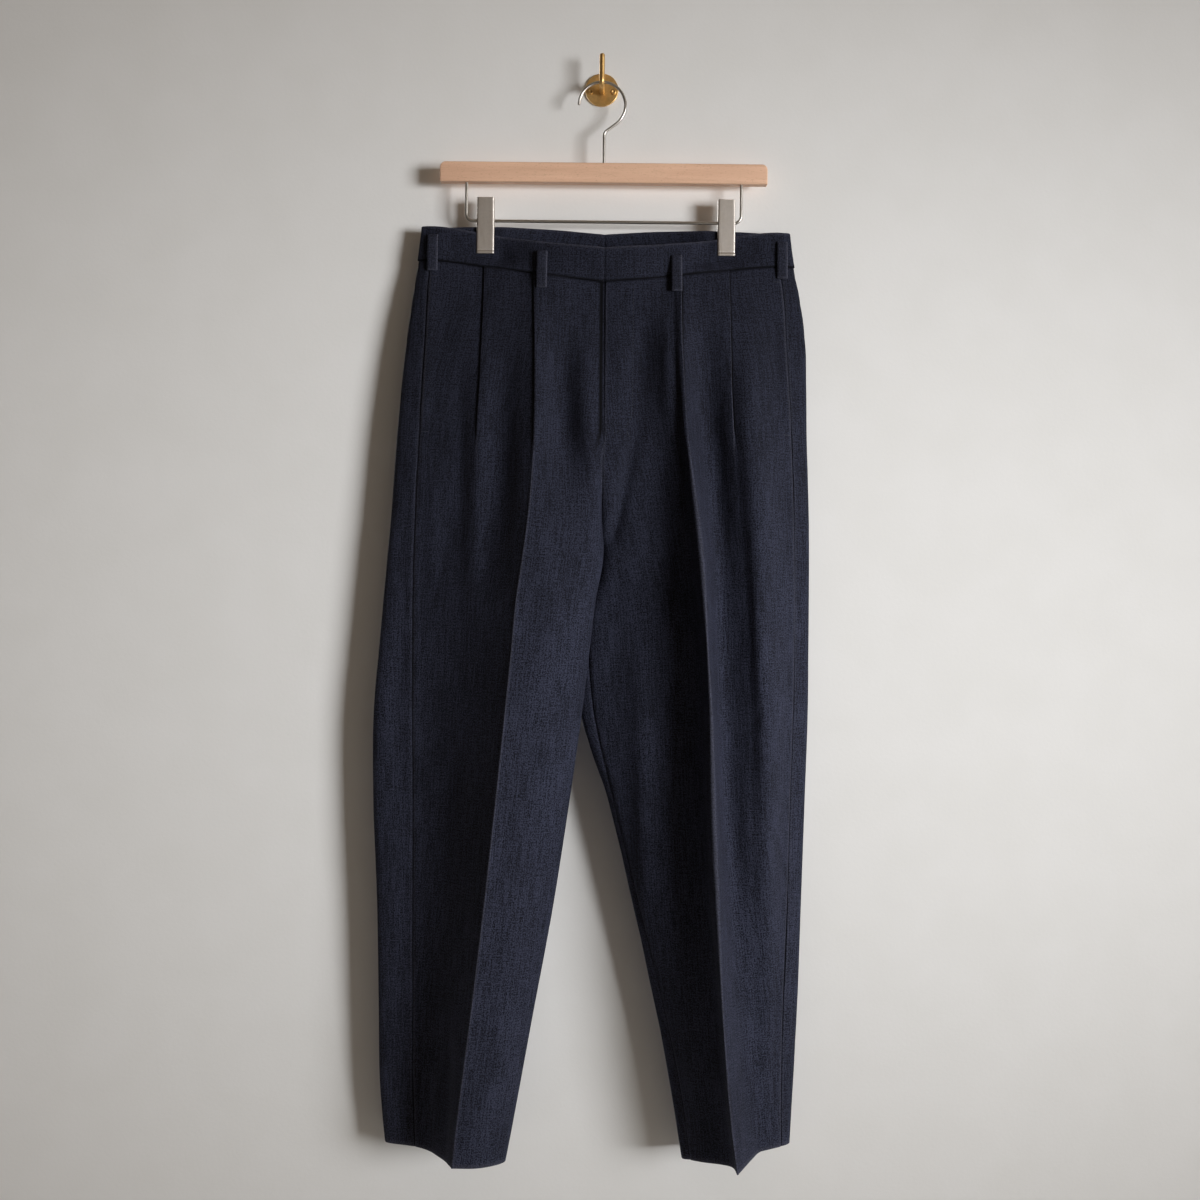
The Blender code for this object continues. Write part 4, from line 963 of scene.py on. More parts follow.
def tube(name, path, radius, plane, finish, around=20, cap=5):
    """A round wire along a path in one plane, in millimetres: at each point a circle square
    to the path. Each end is closed by half a ball, circles of radius r cos a moved r sin a on."""
    path = np.array(path, float)
    run = np.gradient(path, axis=0)
    run /= np.linalg.norm(run, axis=1)[:, None]
    angles = np.radians(np.linspace(88, 0, cap, endpoint=False))
    start = path[0] - np.sin(angles)[:, None] * radius * run[0]
    end = path[-1] + np.sin(angles[::-1])[:, None] * radius * run[-1]
    centre = np.concatenate([start, path, end])
    run = np.concatenate([np.repeat(run[:1], cap, 0), run, np.repeat(run[-1:], cap, 0)])
    size = radius * np.concatenate([np.cos(angles), np.ones(len(path)), np.cos(angles[::-1])])
    beside = np.cross(run, plane)
    turn = np.linspace(0, 2 * math.pi, around, endpoint=False)[None, :, None]
    rings = centre[:, None] + size[:, None, None] * (
        np.cos(turn) * beside[:, None] + np.sin(turn) * np.array(plane, float))
    return loft(name, rings * MM, finish)


def revolve(name, profile, centre, finish, around=64):
    """A round solid about an axis along Y through a centre, in millimetres, from its profile
    of (radius, height above the wall)."""
    profile = np.array(profile, float)
    turn = np.linspace(0, 2 * math.pi, around, endpoint=False)
    rings = np.stack(np.broadcast_arrays(
        centre[0] + profile[:, :1] * np.cos(turn), -profile[:, 1:],
        centre[1] + profile[:, :1] * np.sin(turn)), axis=-1)
    return loft(name, rings * MM, finish)


def arc(centre, radius, start, end, steps):
    """Points (across, up) along an arc, its angles in degrees."""
    angles = np.radians(np.linspace(start, end, steps + 1))
    return np.stack([
        centre[0] + radius * np.cos(angles), centre[1] + radius * np.sin(angles)], axis=1)


def box_of(node):
    """A node's lowest and highest corners in millimetres."""
    low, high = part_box(node)
    return np.array(low) / MM, np.array(high) / MM


def bead_line(name, places, runs, out_ways, finish, length=2.3, radius=0.24):
    """A line of stitches: small rounded beads, each along its run and a little sunk. A bead is
    five rings of six points, whose radius follows a half circle along its length."""
    share = np.array([-0.98, -0.7, 0.0, 0.7, 0.98])
    size = radius * np.sqrt(1 - share ** 2)
    around = np.linspace(0, 2 * math.pi, 6, endpoint=False)
    runs = runs / np.linalg.norm(runs, axis=1)[:, None]
    beside = np.cross(runs, out_ways)
    beside /= np.linalg.norm(beside, axis=1)[:, None]
    up = np.cross(beside, runs)
    points = (
        places[:, None, None]
        + (share * length / 2 * MM)[None, :, None, None] * runs[:, None, None]
        + (size * MM)[None, :, None, None] * (
            np.cos(around)[None, None, :, None] * beside[:, None, None]
            + np.sin(around)[None, None, :, None] * up[:, None, None]))
    rings, sides = len(share), len(around)
    index = np.arange(rings * sides).reshape(rings, sides)
    lift = np.arange(len(places))[:, None, None] * rings * sides
    faces = (band_faces(index)[None] + lift).reshape(-1, 4)
    caps = np.stack([index[0], index[-1][::-1]])
    caps = (caps[None] + lift).reshape(-1, sides)
    return mesh_object(name, points.reshape(-1, 3), [faces, caps], finish)


def drape(grid, normals, points, lift):
    """Puts (x, z) points on a cloth's outer side: each goes on the plane that touches the
    cloth at the grid's nearest point, and a little above it."""
    flat = grid.reshape(-1, 3)
    away = normals.reshape(-1, 3)
    gap = ((flat[None, :, [0, 2]] - points[:, None]) ** 2).sum(axis=2)
    near = gap.argmin(axis=1)
    place, normal = flat[near], away[near]
    dx, dz = (points - place[:, [0, 2]]).T
    y = place[:, 1] - (normal[:, 0] * dx + normal[:, 2] * dz) / normal[:, 1]
    on = np.stack([points[:, 0], y, points[:, 1]], axis=1)
    return on + lift * MM * normal, normal


def paced(points, pitch):
    """Even steps of one pitch along a line of (x, z) points."""
    points = np.array(points, float)[None]
    lengths = lengths_along(points)
    at = np.arange(pitch / 2, lengths[0, -1], pitch)[None]
    return along(points, lengths, at)[0]


# ---- Finishes ----


def recipe(name):
    """A new material and its nodes."""
    material = bpy.data.materials.new(name)
    material.use_nodes = True
    return material, material.node_tree


def fill(tree, sockets, inputs):
    """Sets each input to its value, or joins it to a socket."""
    for key, value in inputs.items():
        if isinstance(value, bpy.types.NodeSocket):
            tree.links.new(value, sockets[key])
        else:
            sockets[key].default_value = value


def principled(tree, inputs):
    """Fills a material's own Principled shader."""
    shader = tree.nodes["Principled BSDF"]
    fill(tree, shader.inputs, inputs)
    return shader


def node(tree, kind, inputs=None, **choices):
    """A node with its choices set and its inputs filled."""
    made = tree.nodes.new(f"ShaderNode{kind}")
    for name, choice in choices.items():
        setattr(made, name, choice)
    fill(tree, made.inputs, inputs or {})
    return made


def colour(values):
    """A colour of three numbers with full cover as its fourth."""
    return (*values[:3], 1.0)


def scaled(tree, vector, scale):
    """A pattern's coordinates, multiplied along each axis."""
    return node(tree, "Mapping", {"Vector": vector, "Scale": scale}).outputs["Vector"]


def noise(tree, vector, scale, detail=2.0, rough=0.5, bend=0.0):
    """A noise whose grain is 1 / scale metres along each axis, from 0 to 1."""
    return node(tree, "TexNoise", {
        "Vector": scaled(tree, vector, scale), "Scale": 1.0, "Detail": detail,
        "Roughness": rough, "Distortion": bend}).outputs["Fac"]


def between(tree, value, low, high, to_low=0.0, to_high=1.0):
    """A value moved from one range to another, and kept in it."""
    return node(tree, "MapRange", {
        "Value": value, "From Min": low, "From Max": high, "To Min": to_low,
        "To Max": to_high}).outputs["Result"]


def maths(tree, operation, a, b=0.0, c=0.0, clamp=False):
    """A sum, a product, or a product with a sum, of up to three numbers."""
    return node(tree, "Math", {0: a, 1: b, 2: c}, operation=operation, use_clamp=clamp).outputs[0]


def mixed(tree, share, a, b):
    """Two colours mixed by a share, from the node's sockets for colours."""
    return node(tree, "Mix", {"Factor": share, 6: a, 7: b}, data_type="RGBA").outputs[2]


def bump(tree, height, distance, strength=1.0, below=None):
    """A surface's normal, tilted by the slope of a height and laid on another below it."""
    inputs = {"Height": height, "Distance": distance, "Strength": strength}
    if below is not None:
        inputs["Normal"] = below
    return node(tree, "Bump", inputs).outputs["Normal"]


@functools.cache
def denim():
    """Raw indigo denim with uneven yarns: dark warp down the leg with paler weft showing
    through in slubs, a twill's diagonal ribs, and paler yarn along pressed and sewn edges.
    It also carries painted light: near-black painted shade in the seams and beside the folds,
    a painted highlight along the belt loops' right edges, and painted shade that makes it
    darker at the hips than down the legs."""
    look = settings()
    material, tree = recipe("denim")
    weave = node(tree, "UVMap", uv_map="weave").outputs["UV"]
    warp = noise(tree, weave, (640, 26, 1), 3.0, 0.7)
    fine_warp = noise(tree, weave, (1500, 150, 1), 2.0)
    weft = noise(tree, weave, (60, 760, 1), 3.0, 0.65)
    speck = noise(tree, weave, (680, 600, 1), 2.0, 0.85)
    cloud = noise(tree, weave, (26, 11, 1), 3.0)
    ribs = node(tree, "TexWave", {
        "Vector": node(tree, "Mapping", {
            "Vector": weave, "Rotation": (0, 0, math.radians(28))}).outputs["Vector"],
        "Scale": 480.0, "Distortion": 1.2, "Detail": 1.0, "Detail Scale": 2.0},
        wave_type="BANDS", bands_direction="X").outputs["Fac"]
    show = -0.34
    for yarns, low, high, weight in (
            (warp, 0.42, 0.60, 0.52), (weft, 0.46, 0.62, 0.34), (speck, 0.44, 0.58, 0.95),
            (fine_warp, 0.44, 0.62, 0.18)):
        show = maths(tree, "MULTIPLY_ADD", between(tree, yarns, low, high), weight, show)
    show = maths(tree, "MULTIPLY_ADD", ribs, 0.06, show)
    show = maths(tree, "MULTIPLY", show, between(tree, cloud, 0.3, 0.7, 0.66, 1.16), clamp=True)
    # Painted shade: the cloth is made darker at the hips and paler from the thighs down.
    height = node(tree, "SeparateXYZ", {0: weave}).outputs["Y"]
    show = maths(tree, "MULTIPLY", show, between(tree, height, -0.32, -0.66, 0.6, 1.0))
    yarn = mixed(tree, show, colour(look.warp_colour), colour(look.weft_colour))
    wear_and_painted_light = node(tree, "Attribute", attribute_name="wear_and_painted_light").outputs["Fac"]
    # Painted shade: below 0 the attribute turns the yarn near black, in seams, beside folds and
    # beside the fly.
    groove = maths(tree, "MULTIPLY", wear_and_painted_light, -0.9, clamp=True)
    yarn = mixed(tree, groove, yarn, (0.0012, 0.0012, 0.0018, 1.0))
    # Above 0 the attribute makes the yarn paler: rubbed edges, and a painted highlight along the
    # belt loops' right edges.
    wear_and_painted_light = maths(tree, "MULTIPLY", wear_and_painted_light, between(tree, speck, 0.3, 0.6, 0.25, 0.8), clamp=True)
    yarn = mixed(tree, wear_and_painted_light, yarn, colour(look.edge_colour))
    rough = between(tree, warp, 0.3, 0.8, 0.8, 0.95)
    drape_wave = noise(tree, weave, (34, 9, 1), 2.0)
    slub = maths(tree, "ADD", warp, weft)
    normal = bump(tree, drape_wave, 0.0035, 0.55)
    normal = bump(tree, slub, 0.0005, 0.5, normal)
    normal = bump(tree, ribs, 0.00022, 0.5, normal)
    principled(tree, {
        "Base Color": yarn, "Roughness": rough, "Specular IOR Level": 0.1, "Normal": normal,
        "Sheen Weight": 0.05, "Sheen Roughness": 0.45, "Sheen Tint": (0.45, 0.47, 0.75, 1.0)})
    return material


@functools.cache
def thread():
    """Sewing thread of the cloth's own colour, with its twist."""
    look = settings()
    material, tree = recipe("thread")
    place = node(tree, "TexCoord").outputs["Object"]
    twist = node(
        tree, "TexWave", {"Vector": place, "Scale": 700.0, "Distortion": 2.0},
        bands_direction="DIAGONAL").outputs["Fac"]
    tint = mixed(tree, twist, colour(look.warp_colour), colour(look.thread_colour))
    principled(tree, {
        "Base Color": tint, "Roughness": 0.7, "Normal": bump(tree, twist, 0.00008, 0.6)})
    return material


@functools.cache
def beech():
    """Beech sanded smooth: pale pinkish wood, slow bands along the bar, fine pores and the
    short dark flecks of its rays, drawn out along the grain."""
    look = settings()
    material, tree = recipe("beech")
    place = node(tree, "TexCoord").outputs["Object"]
    band = noise(tree, place, (5, 60, 130), 3.0, 0.55, 0.4)
    pore = noise(tree, place, (70, 1500, 1700), 2.0)
    fleck = noise(tree, place, (330, 900, 1500), 1.0)
    fleck = between(tree, fleck, 0.64, 0.74)
    cloud = noise(tree, place, (9, 20, 20), 2.0)
    wood = mixed(
        tree, between(tree, band, 0.3, 0.7), colour(look.wood_colour), colour(look.wood_dark))
    wood = mixed(tree, between(tree, cloud, 0.3, 0.7, 0.0, 0.35), wood, (0.62, 0.40, 0.27, 1.0))
    wood = mixed(tree, maths(tree, "MULTIPLY", fleck, 0.4), wood, (0.30, 0.155, 0.08, 1.0))
    wood = mixed(tree, between(tree, pore, 0.5, 0.8, 0.0, 0.18), wood, (0.36, 0.2, 0.11, 1.0))
    normal = bump(tree, pore, 0.00012, 0.35)
    normal = bump(tree, fleck, -0.0001, 0.3, normal)
    principled(tree, {
        "Base Color": wood, "Roughness": between(tree, pore, 0.3, 0.8, 0.42, 0.58),
        "Specular IOR Level": 0.35, "Normal": normal})
    return material


def metal(name, tint, dulled, roughness, grain, scratch, depth):
    """A metal whose colour drifts a little, with fine lines along its grain: scales of a
    noise along x, y and z."""
    material, tree = recipe(name)
    place = node(tree, "TexCoord").outputs["Object"]
    lines = noise(tree, place, grain, 3.0, 0.6)
    cloud = noise(tree, place, (90, 90, 90), 3.0, 0.6)
    tone = mixed(tree, between(tree, cloud, 0.38, 0.72), colour(tint), colour(dulled))
    fine = between(tree, lines, 0.3, 0.7, roughness - scratch, roughness + scratch)
    rough = maths(tree, "ADD", fine, between(tree, cloud, 0.35, 0.7, -0.03, 0.05))
    principled(tree, {
        "Base Color": tone, "Roughness": rough, "Metallic": 1.0,
        "Normal": bump(tree, lines, depth, 0.5)})
    return material


@functools.cache
def brushed_nickel():
    """The clips' nickel, brushed across."""
    return metal(
        "brushed_nickel", settings().steel_colour, (0.52, 0.48, 0.44), 0.48,
        (2400, 60, 60), 0.07, 0.00004)


@functools.cache
def polished_wire():
    """The hanger's wires, smoother and darker than the clips."""
    return metal(
        "polished_wire", settings().wire_colour, (0.42, 0.40, 0.365), 0.33,
        (400, 400, 400), 0.04, 0.000002)


@functools.cache
def aged_brass():
    """The wall hook's brass, a little dulled."""
    return metal(
        "aged_brass", settings().brass_colour, (0.56, 0.34, 0.12), 0.42,
        (600, 600, 600), 0.08, 0.00006)


@functools.cache
def plaster():
    """A painted wall: pale warm grey with a roller's soft orange-peel. Seen from behind it
    lets the view through, so that the back of the trousers can be looked at."""
    look = settings()
    material, tree = recipe("painted_wall")
    place = node(tree, "TexCoord").outputs["Object"]
    peel = noise(tree, place, (240, 240, 240), 3.0, 0.55)
    swell = noise(tree, place, (14, 14, 14), 2.0)
    paint = mixed(
        tree, between(tree, swell, 0.35, 0.65), colour(look.wall_colour),
        (0.705, 0.695, 0.672, 1.0))
    shader = principled(tree, {
        "Base Color": paint, "Roughness": 0.85, "Specular IOR Level": 0.2,
        "Normal": bump(tree, peel, 0.0006, 0.2)})
    facing = node(tree, "NewGeometry").outputs["Backfacing"]
    clear = node(tree, "BsdfTransparent").outputs["BSDF"]
    mix = node(tree, "MixShader", {0: facing, 1: shader.outputs["BSDF"], 2: clear})
    fill(tree, tree.nodes["Material Output"].inputs, {"Surface": mix.outputs["Shader"]})
    return material


@functools.cache
def pale_floor():
    """A pale floor, out of sight, which throws light back up."""
    material, tree = recipe("pale_floor")
    place = node(tree, "TexCoord").outputs["Object"]
    tone = mixed(
        tree, noise(tree, place, (6, 6, 6), 3.0), (0.66, 0.645, 0.62, 1.0),
        (0.72, 0.705, 0.68, 1.0))
    principled(tree, {"Base Color": tone, "Roughness": 0.7})
    return material


# ---- Pieces ----


def make_cloth(name, cloth, thickness, node_name, inner_step=0.0):
    """A piece of denim: its shell, and the node that it replaces hidden."""
    obj = shell(name, cloth, thickness, denim(), inner_step)
    settle(obj, node_name)


def make_panel(face, side):
    """A front or a back, with its hem turned up inside. Where a grid's outside would face in,
    it is turned round."""
    cloth = front_cloth(side) if face == "front" else back_cloth(side)
    if (face, side) in (("front", "right"), ("back", "left")):
        cloth = turned(cloth)
    top = HEM_Z + HEM_TURN
    step = HEM_STEP * ease(ROWS[:, None, None], top + HEM_BLEND, top - HEM_BLEND)
    make_cloth(
        f"{face}_panel_{side}", cloth, settings().cloth_thickness / MM, f"{face}_{side}",
        step)


def make_band(side):
    """Half of the waistband, held by both plates of its clip."""
    cloth = band_cloth(side) if side == "left" else turned(band_cloth(side))
    make_cloth(
        f"waist_band_{side}", cloth, BAND_THICK, f"waistband_{side}")


def strip_columns(distance, below, above=-math.inf):
    """The columns whose distance from an edge stays between two bounds in a strip's rows."""
    within = distance[STRIP_ROWS]
    return np.flatnonzero((within.max(axis=0) < below) & (within.min(axis=0) > above))


def strip_behind(cloth, columns, inset):
    """Part of a cloth's grid, moved in along its normals by an inset in millimetres."""
    inner = cloth["grid"] - grid_normals(cloth["grid"]) * inset * MM
    grid = inner[STRIP_ROWS][:, columns]
    weave = cloth["weave"][STRIP_ROWS][:, columns]
    return {"grid": grid, "wear_and_painted_light": np.zeros(grid.shape[:2]), "weave": weave}


def joined(first, second):
    """Two cloths side by side as one, the second's columns after the first's."""
    return {key: np.concatenate([first[key], second[key]], axis=1) for key in first}


def make_fly_shield():
    """The underlap behind the fly, made from both fronts beside it."""
    left, right = front_cloth("left"), turned(front_cloth("right"))
    left_columns = strip_columns(left["end"], FLY_WIDTH + LAP_LEFT, LAP_LEFT)
    right_columns = strip_columns(right["end"], FLY_WIDTH)
    cloth = joined(
        strip_behind(left, left_columns, FLY_INSET),
        strip_behind(right, right_columns, FLY_INSET + LAP_RAISED))
    make_cloth(
        "fly_underlap", cloth, STRIP_THICK, "fly_shield")


def make_pocket_strip(side):
    """The strip behind a pocket's mouth, on both sides of the side seam."""
    front, back = front_cloth(side), back_cloth(side)
    inset = POCKET_INSET if side == "left" else -POCKET_INSET
    ahead = strip_behind(front, strip_columns(front["at"], POCKET_WIDTH), inset)
    behind = strip_behind(back, strip_columns(back["at"], POCKET_BACK_WIDTH), -inset)
    cloth = joined(turned(behind), ahead)
    if side == "right":
        cloth = turned(cloth)
    make_cloth(
        f"pocket_strip_{side}", cloth, STRIP_THICK, f"pocket_facing_{side}")


def outer_depth(grid, thickness, x, levels, front):
    """Depth of a cloth's outermost face at one x, at evenly spaced heights, and where it
    reaches: each row is crossed where it passes x, and the crossings are joined up."""
    start, end = grid[:, :-1], grid[:, 1:]
    run = end[..., 0] - start[..., 0]
    crossed = ((start[..., 0] - x) * (end[..., 0] - x) <= 0) & (run != 0)
    share = np.where(crossed, (x - start[..., 0]) / np.where(run == 0, 1, run), 0)[..., None]
    place = start + share * (end - start)
    sign = 1.0 if front else -1.0
    depth = np.where(crossed, -sign * place[..., 1], -np.inf)
    best = depth.argmax(axis=1)
    rows = np.flatnonzero(crossed.any(axis=1))
    if not len(rows):
        return np.full(len(levels), -np.inf)
    height = place[rows, best[rows], 2] / MM
    depth = depth[rows, best[rows]] / MM + thickness / 2
    order = np.argsort(height)
    height, depth = height[order], depth[order]
    within = (levels > height[0] - LOOP_REACH) & (levels < height[-1] + LOOP_REACH)
    return np.where(within, np.interp(levels, height, depth), -np.inf)


def make_belt_loop(name, x, top_z, low_z):
    """A belt loop: a flat strip that follows the outermost cloth under it, bowed out between
    its two sewn ends, which are folded in against the cloth."""
    side = "left" if x < CENTRE_X else "right"
    front = name != "back"
    thick = settings().cloth_thickness / MM
    cloths = [(band_cloth(side)["grid"], BAND_THICK), (front_cloth(side)["grid"], thick)]
    if not front:
        cloths = [(band_cloth(each)["grid"], BAND_THICK) for each in SIDES]
        cloths += [(back_cloth(each)["grid"], thick) for each in SIDES]
    levels = np.linspace(low_z, top_z, LOOP_ROWS)
    across = np.linspace(-LOOP_WIDTH / 2, LOOP_WIDTH / 2, LOOP_ACROSS)
    deep = np.max([
        outer_depth(grid, thickness, (x + at) * MM, levels, front)
        for grid, thickness in cloths for at in across], axis=0)
    kernel = bell(np.linspace(-2, 2, 2 * LOOP_SMOOTH + 1), 1.0)
    deep = np.pad(deep, LOOP_SMOOTH, mode="edge")
    deep = np.convolve(deep, kernel / kernel.sum(), mode="valid")
    share = np.linspace(0, 1, LOOP_ROWS)
    proud = LOOP_PROUD[name.split("_")[0]]
    bow = proud * np.sin(math.pi * share) ** LOOP_BOW
    tucked = np.exp(-share / LOOP_END) + np.exp(-(1 - share) / LOOP_END)
    crown = LOOP_CROWN * (1 - (2 * across / LOOP_WIDTH) ** 4)
    lift = LOOP_CLEAR + LOOP_THICK / 2 + bow - LOOP_TUCK * tucked
    depth = deep[:, None] + lift[:, None] + crown
    if not front:
        depth = -depth
    grid = np.stack(np.broadcast_arrays(x + across, -depth, levels[:, None]), axis=-1) * MM
    # Painted highlight along the right edge, turned to the light; painted shade along the left.
    rim = wear_and_painted_light_at("loop", LOOP_WIDTH / 2 - across) + wear_and_painted_light_at("loop_painted_shade", LOOP_WIDTH / 2 + across)
    end = LOOP_END_WEAR * np.exp(-share / LOOP_END_FADE)
    wear_and_painted_light = np.maximum(rim, end[:, None]) + LOOP_WEAR
    cloth = {"grid": grid, "wear_and_painted_light": wear_and_painted_light, "weave": weave_map(grid, 0)}
    if front:
        cloth = {key: value[::-1] for key, value in cloth.items()}
    make_cloth(
        f"belt_carrier_{name}", cloth, LOOP_THICK, f"belt_loop_{name}")


# ---- Hanger, clips and wall hook ----

# The hanger, its wires and the wall hook: radii, widths and places. A bend is the radius of
# a wire's middle line. AXIS is how near to its own centre a round profile starts and ends.
HANGER_DEPTH = 24.0
BAR_CORNER, BAR_FOOT, BAR_EDGE = 6.5, 1.2, 1.3
WIRE_GAP = 0.1
FRAME_X, FRAME_HALF, FRAME_WIRE, FRAME_Z, FRAME_BEND = 3.5, 156.7, 3.5, -158.0, 8.0
HOOK_X, HOOK_WIRE, HOOK_RADIUS, HOOK_START, HOOK_END = 0.5, 3.2, 26.5, 177.0, -53.0
STEM_X, STEM_BEND = 3.0, 8.0
ARM_RADIUS, ARM_Z, ARM_BEND, ARM_TIP_Z, ARM_RISER_DEPTH = 3.0, -3.0, 6.0, 32.6, 31.0
ARM_SUNK = 0.4
PLATE_RADIUS, PLATE_THICK, PLATE_EDGE, PLATE_BREAK, AXIS = 19.0, 2.5, 0.7, 0.2, 0.01
# The clips: the sheet and its corners, where the side walls run out, the lip, how far short
# of its box a plate ends, how much narrower its top is and between which heights, its side
# walls' least depth and what they gain, how far its face lies inside the box, the groove's
# depth, height above the lip and width, and how far the lip stands out and over what height.
CLIP_SHEET, CLIP_CORNER, CLIP_FLANGE_Z, CLIP_LIP = 1.1, 1.3, 33.5, 3.2
CLIP_END, CLIP_TAPER, CLIP_TAPER_Z = 0.5, 0.35, (20, 64)
CLIP_WALL, CLIP_WALL_MORE, CLIP_BACK = 0.35, 2.35, 0.15
GROOVE_DEEP, GROOVE_UP, GROOVE_WIDTH, LIP_OUT, LIP_RUN = 0.5, 0.6, 0.5, 0.15, 0.8
SCREW_RADIUS, SCREW_HEAD, SCREW_OFFSET, SCREW_Z = 3.2, 1.4, 13.3, -2.5


def make_bar():
    """The wooden bar: its outline, square below and rounded at the top corners, carried
    through its thickness and drawn in at both faces by a quarter round."""
    low, high = box_of("hanger_bar")
    left, bottom, right, top = low[0], low[2], high[0], high[2]
    corners = (
        (right - BAR_FOOT, bottom + BAR_FOOT, BAR_FOOT, -90),
        (right - BAR_CORNER, top - BAR_CORNER, BAR_CORNER, 0),
        (left + BAR_CORNER, top - BAR_CORNER, BAR_CORNER, 90),
        (left + BAR_FOOT, bottom + BAR_FOOT, BAR_FOOT, 180))
    outline, normal = [
        np.concatenate(arcs) for arcs in zip(*(
            (arc((x, z), radius, start, start + 90, 10), arc((0, 0), 1.0, start, start + 90, 10))
            for x, z, radius, start in corners))]
    angle = np.radians(np.linspace(0, 90, 6))
    inset = BAR_EDGE * (1 - np.sin(angle))
    deep = BAR_EDGE * (1 - np.cos(angle))
    y = np.concatenate([low[1] + deep, (high[1] - deep)[::-1]])
    inset = np.concatenate([inset, inset[::-1]])
    face = outline[None] - inset[:, None, None] * normal[None]
    rings = np.stack(np.broadcast_arrays(face[..., 0], y[:, None], face[..., 1]), axis=-1)
    settle(loft("wooden_bar", rings * MM, beech()), "hanger_bar", 50)


def make_frame_wire():
    """The wire below the bar: down, across and up again, with round bends."""
    bottom = box_of("hanger_bar")[0][2]
    ends = FRAME_HALF - FRAME_BEND
    bend_z = FRAME_Z + FRAME_BEND
    down = pair(-FRAME_HALF, np.linspace(bottom - WIRE_GAP, bend_z, 12, endpoint=False))
    across = pair(np.linspace(-ends, ends, 40)[1:-1], FRAME_Z)
    path = np.concatenate([
        down, arc((-ends, bend_z), FRAME_BEND, 180, 270, 12), across,
        arc((ends, bend_z), FRAME_BEND, 270, 360, 12), down[::-1] * (-1, 1)])
    path = [(FRAME_X + x, -HANGER_DEPTH, z) for x, z in path]
    obj = tube("wire_frame", path, FRAME_WIRE / 2, (0, 1, 0), polished_wire())
    settle(obj, "hanger_wire_frame")


def make_hook():
    """The hanger's hook: an arc over the arm, a straight fall, a bend and the stem."""
    bar_top = box_of("hanger_bar")[1][2]
    centre_z = ARM_Z + ARM_RADIUS + SEAM_GAP + HOOK_WIRE / 2 - HOOK_RADIUS
    bow = arc((HOOK_X, centre_z), HOOK_RADIUS, HOOK_START, HOOK_END, 72)
    fall = math.radians(HOOK_END - 90)
    way = np.array([math.cos(fall), math.sin(fall)])
    knee = bow[-1] + (STEM_X - bow[-1, 0]) / way[0] * way
    back_off = STEM_BEND * math.tan(abs(math.radians(270) - fall % (2 * math.pi)) / 2)
    start = knee - back_off * way
    stem_top = knee[1] - back_off
    bend_centre = (STEM_X + STEM_BEND, stem_top)
    first = math.degrees(math.atan2(start[1] - bend_centre[1], start[0] - bend_centre[0]))
    straight = bow[-1] + np.linspace(0, 1, 10)[1:-1, None] * (start - bow[-1])
    stem = pair(STEM_X, np.linspace(stem_top, bar_top + WIRE_GAP, 15)[1:])
    path = np.concatenate([bow, straight, arc(bend_centre, STEM_BEND, first, 180, 12), stem])
    path = [(x, -HANGER_DEPTH, z) for x, z in path]
    obj = tube("wire_hook", path, HOOK_WIRE / 2, (0, 1, 0), polished_wire())
    settle(obj, "hanger_hook")


def make_clip_plate(side, face):
    """A clip's plate: a channel of sheet metal, its profile a flat face with two rounded
    corners and side walls, carried down the plate. It widens a little, its walls run out
    halfway down, and its lower end is pressed into a groove and a lip."""
    node_name = f"clip_{side}_{face}_plate"
    low, high = box_of(node_name)
    sign = 1.0 if face == "front" else -1.0
    face_y = low[1] if face == "front" else high[1]
    middle_x = (low[0] + high[0]) / 2
    z = np.linspace(high[2] - CLIP_END, low[2] + CLIP_END, 90)[:, None]
    from_low = z - low[2]
    half = (high[0] - low[0]) / 2 - CLIP_SHEET / 2
    half = half - CLIP_TAPER * ease(from_low, *CLIP_TAPER_Z)
    wall = CLIP_WALL + CLIP_WALL_MORE * ease(
        high[2] - z, CLIP_FLANGE_Z + 1.0, CLIP_FLANGE_Z - 3.0)
    angle = np.radians(np.linspace(0, 90, 7))
    wall_at = np.linspace(1, 0, 4)[:-1]
    corner_x = half - CLIP_CORNER * (1 - np.cos(angle))
    corner_d = np.broadcast_to(CLIP_CORNER * (1 - np.sin(angle)), corner_x.shape)
    edge_x = np.concatenate([np.repeat(half, 3, axis=1), corner_x], axis=1)
    edge_d = np.concatenate([CLIP_CORNER + wall * wall_at, corner_d], axis=1)
    flat_x = np.linspace(1, -1, 14)[1:-1] * (half - CLIP_CORNER)
    x = np.concatenate([edge_x, flat_x, -edge_x[:, ::-1]], axis=1)
    d = np.concatenate([edge_d, np.zeros_like(flat_x), edge_d[:, ::-1]], axis=1)
    groove = GROOVE_DEEP * bell(from_low - CLIP_LIP - GROOVE_UP, GROOVE_WIDTH)
    lip = LIP_OUT * ease(from_low, CLIP_LIP, CLIP_LIP - LIP_RUN)
    y = face_y + sign * (CLIP_SHEET / 2 + d + groove - lip + CLIP_BACK)
    grid = np.stack(np.broadcast_arrays(middle_x + x, y, z), axis=-1) * MM
    if face == "front":
        grid = grid[:, ::-1]
    cloth = {"grid": grid, "wear_and_painted_light": np.zeros(grid.shape[:2]), "weave": weave_map(grid, 0)}
    obj = shell(f"clip_{side}_{face}_channel", cloth, CLIP_SHEET, brushed_nickel())
    settle(obj, node_name, 40)


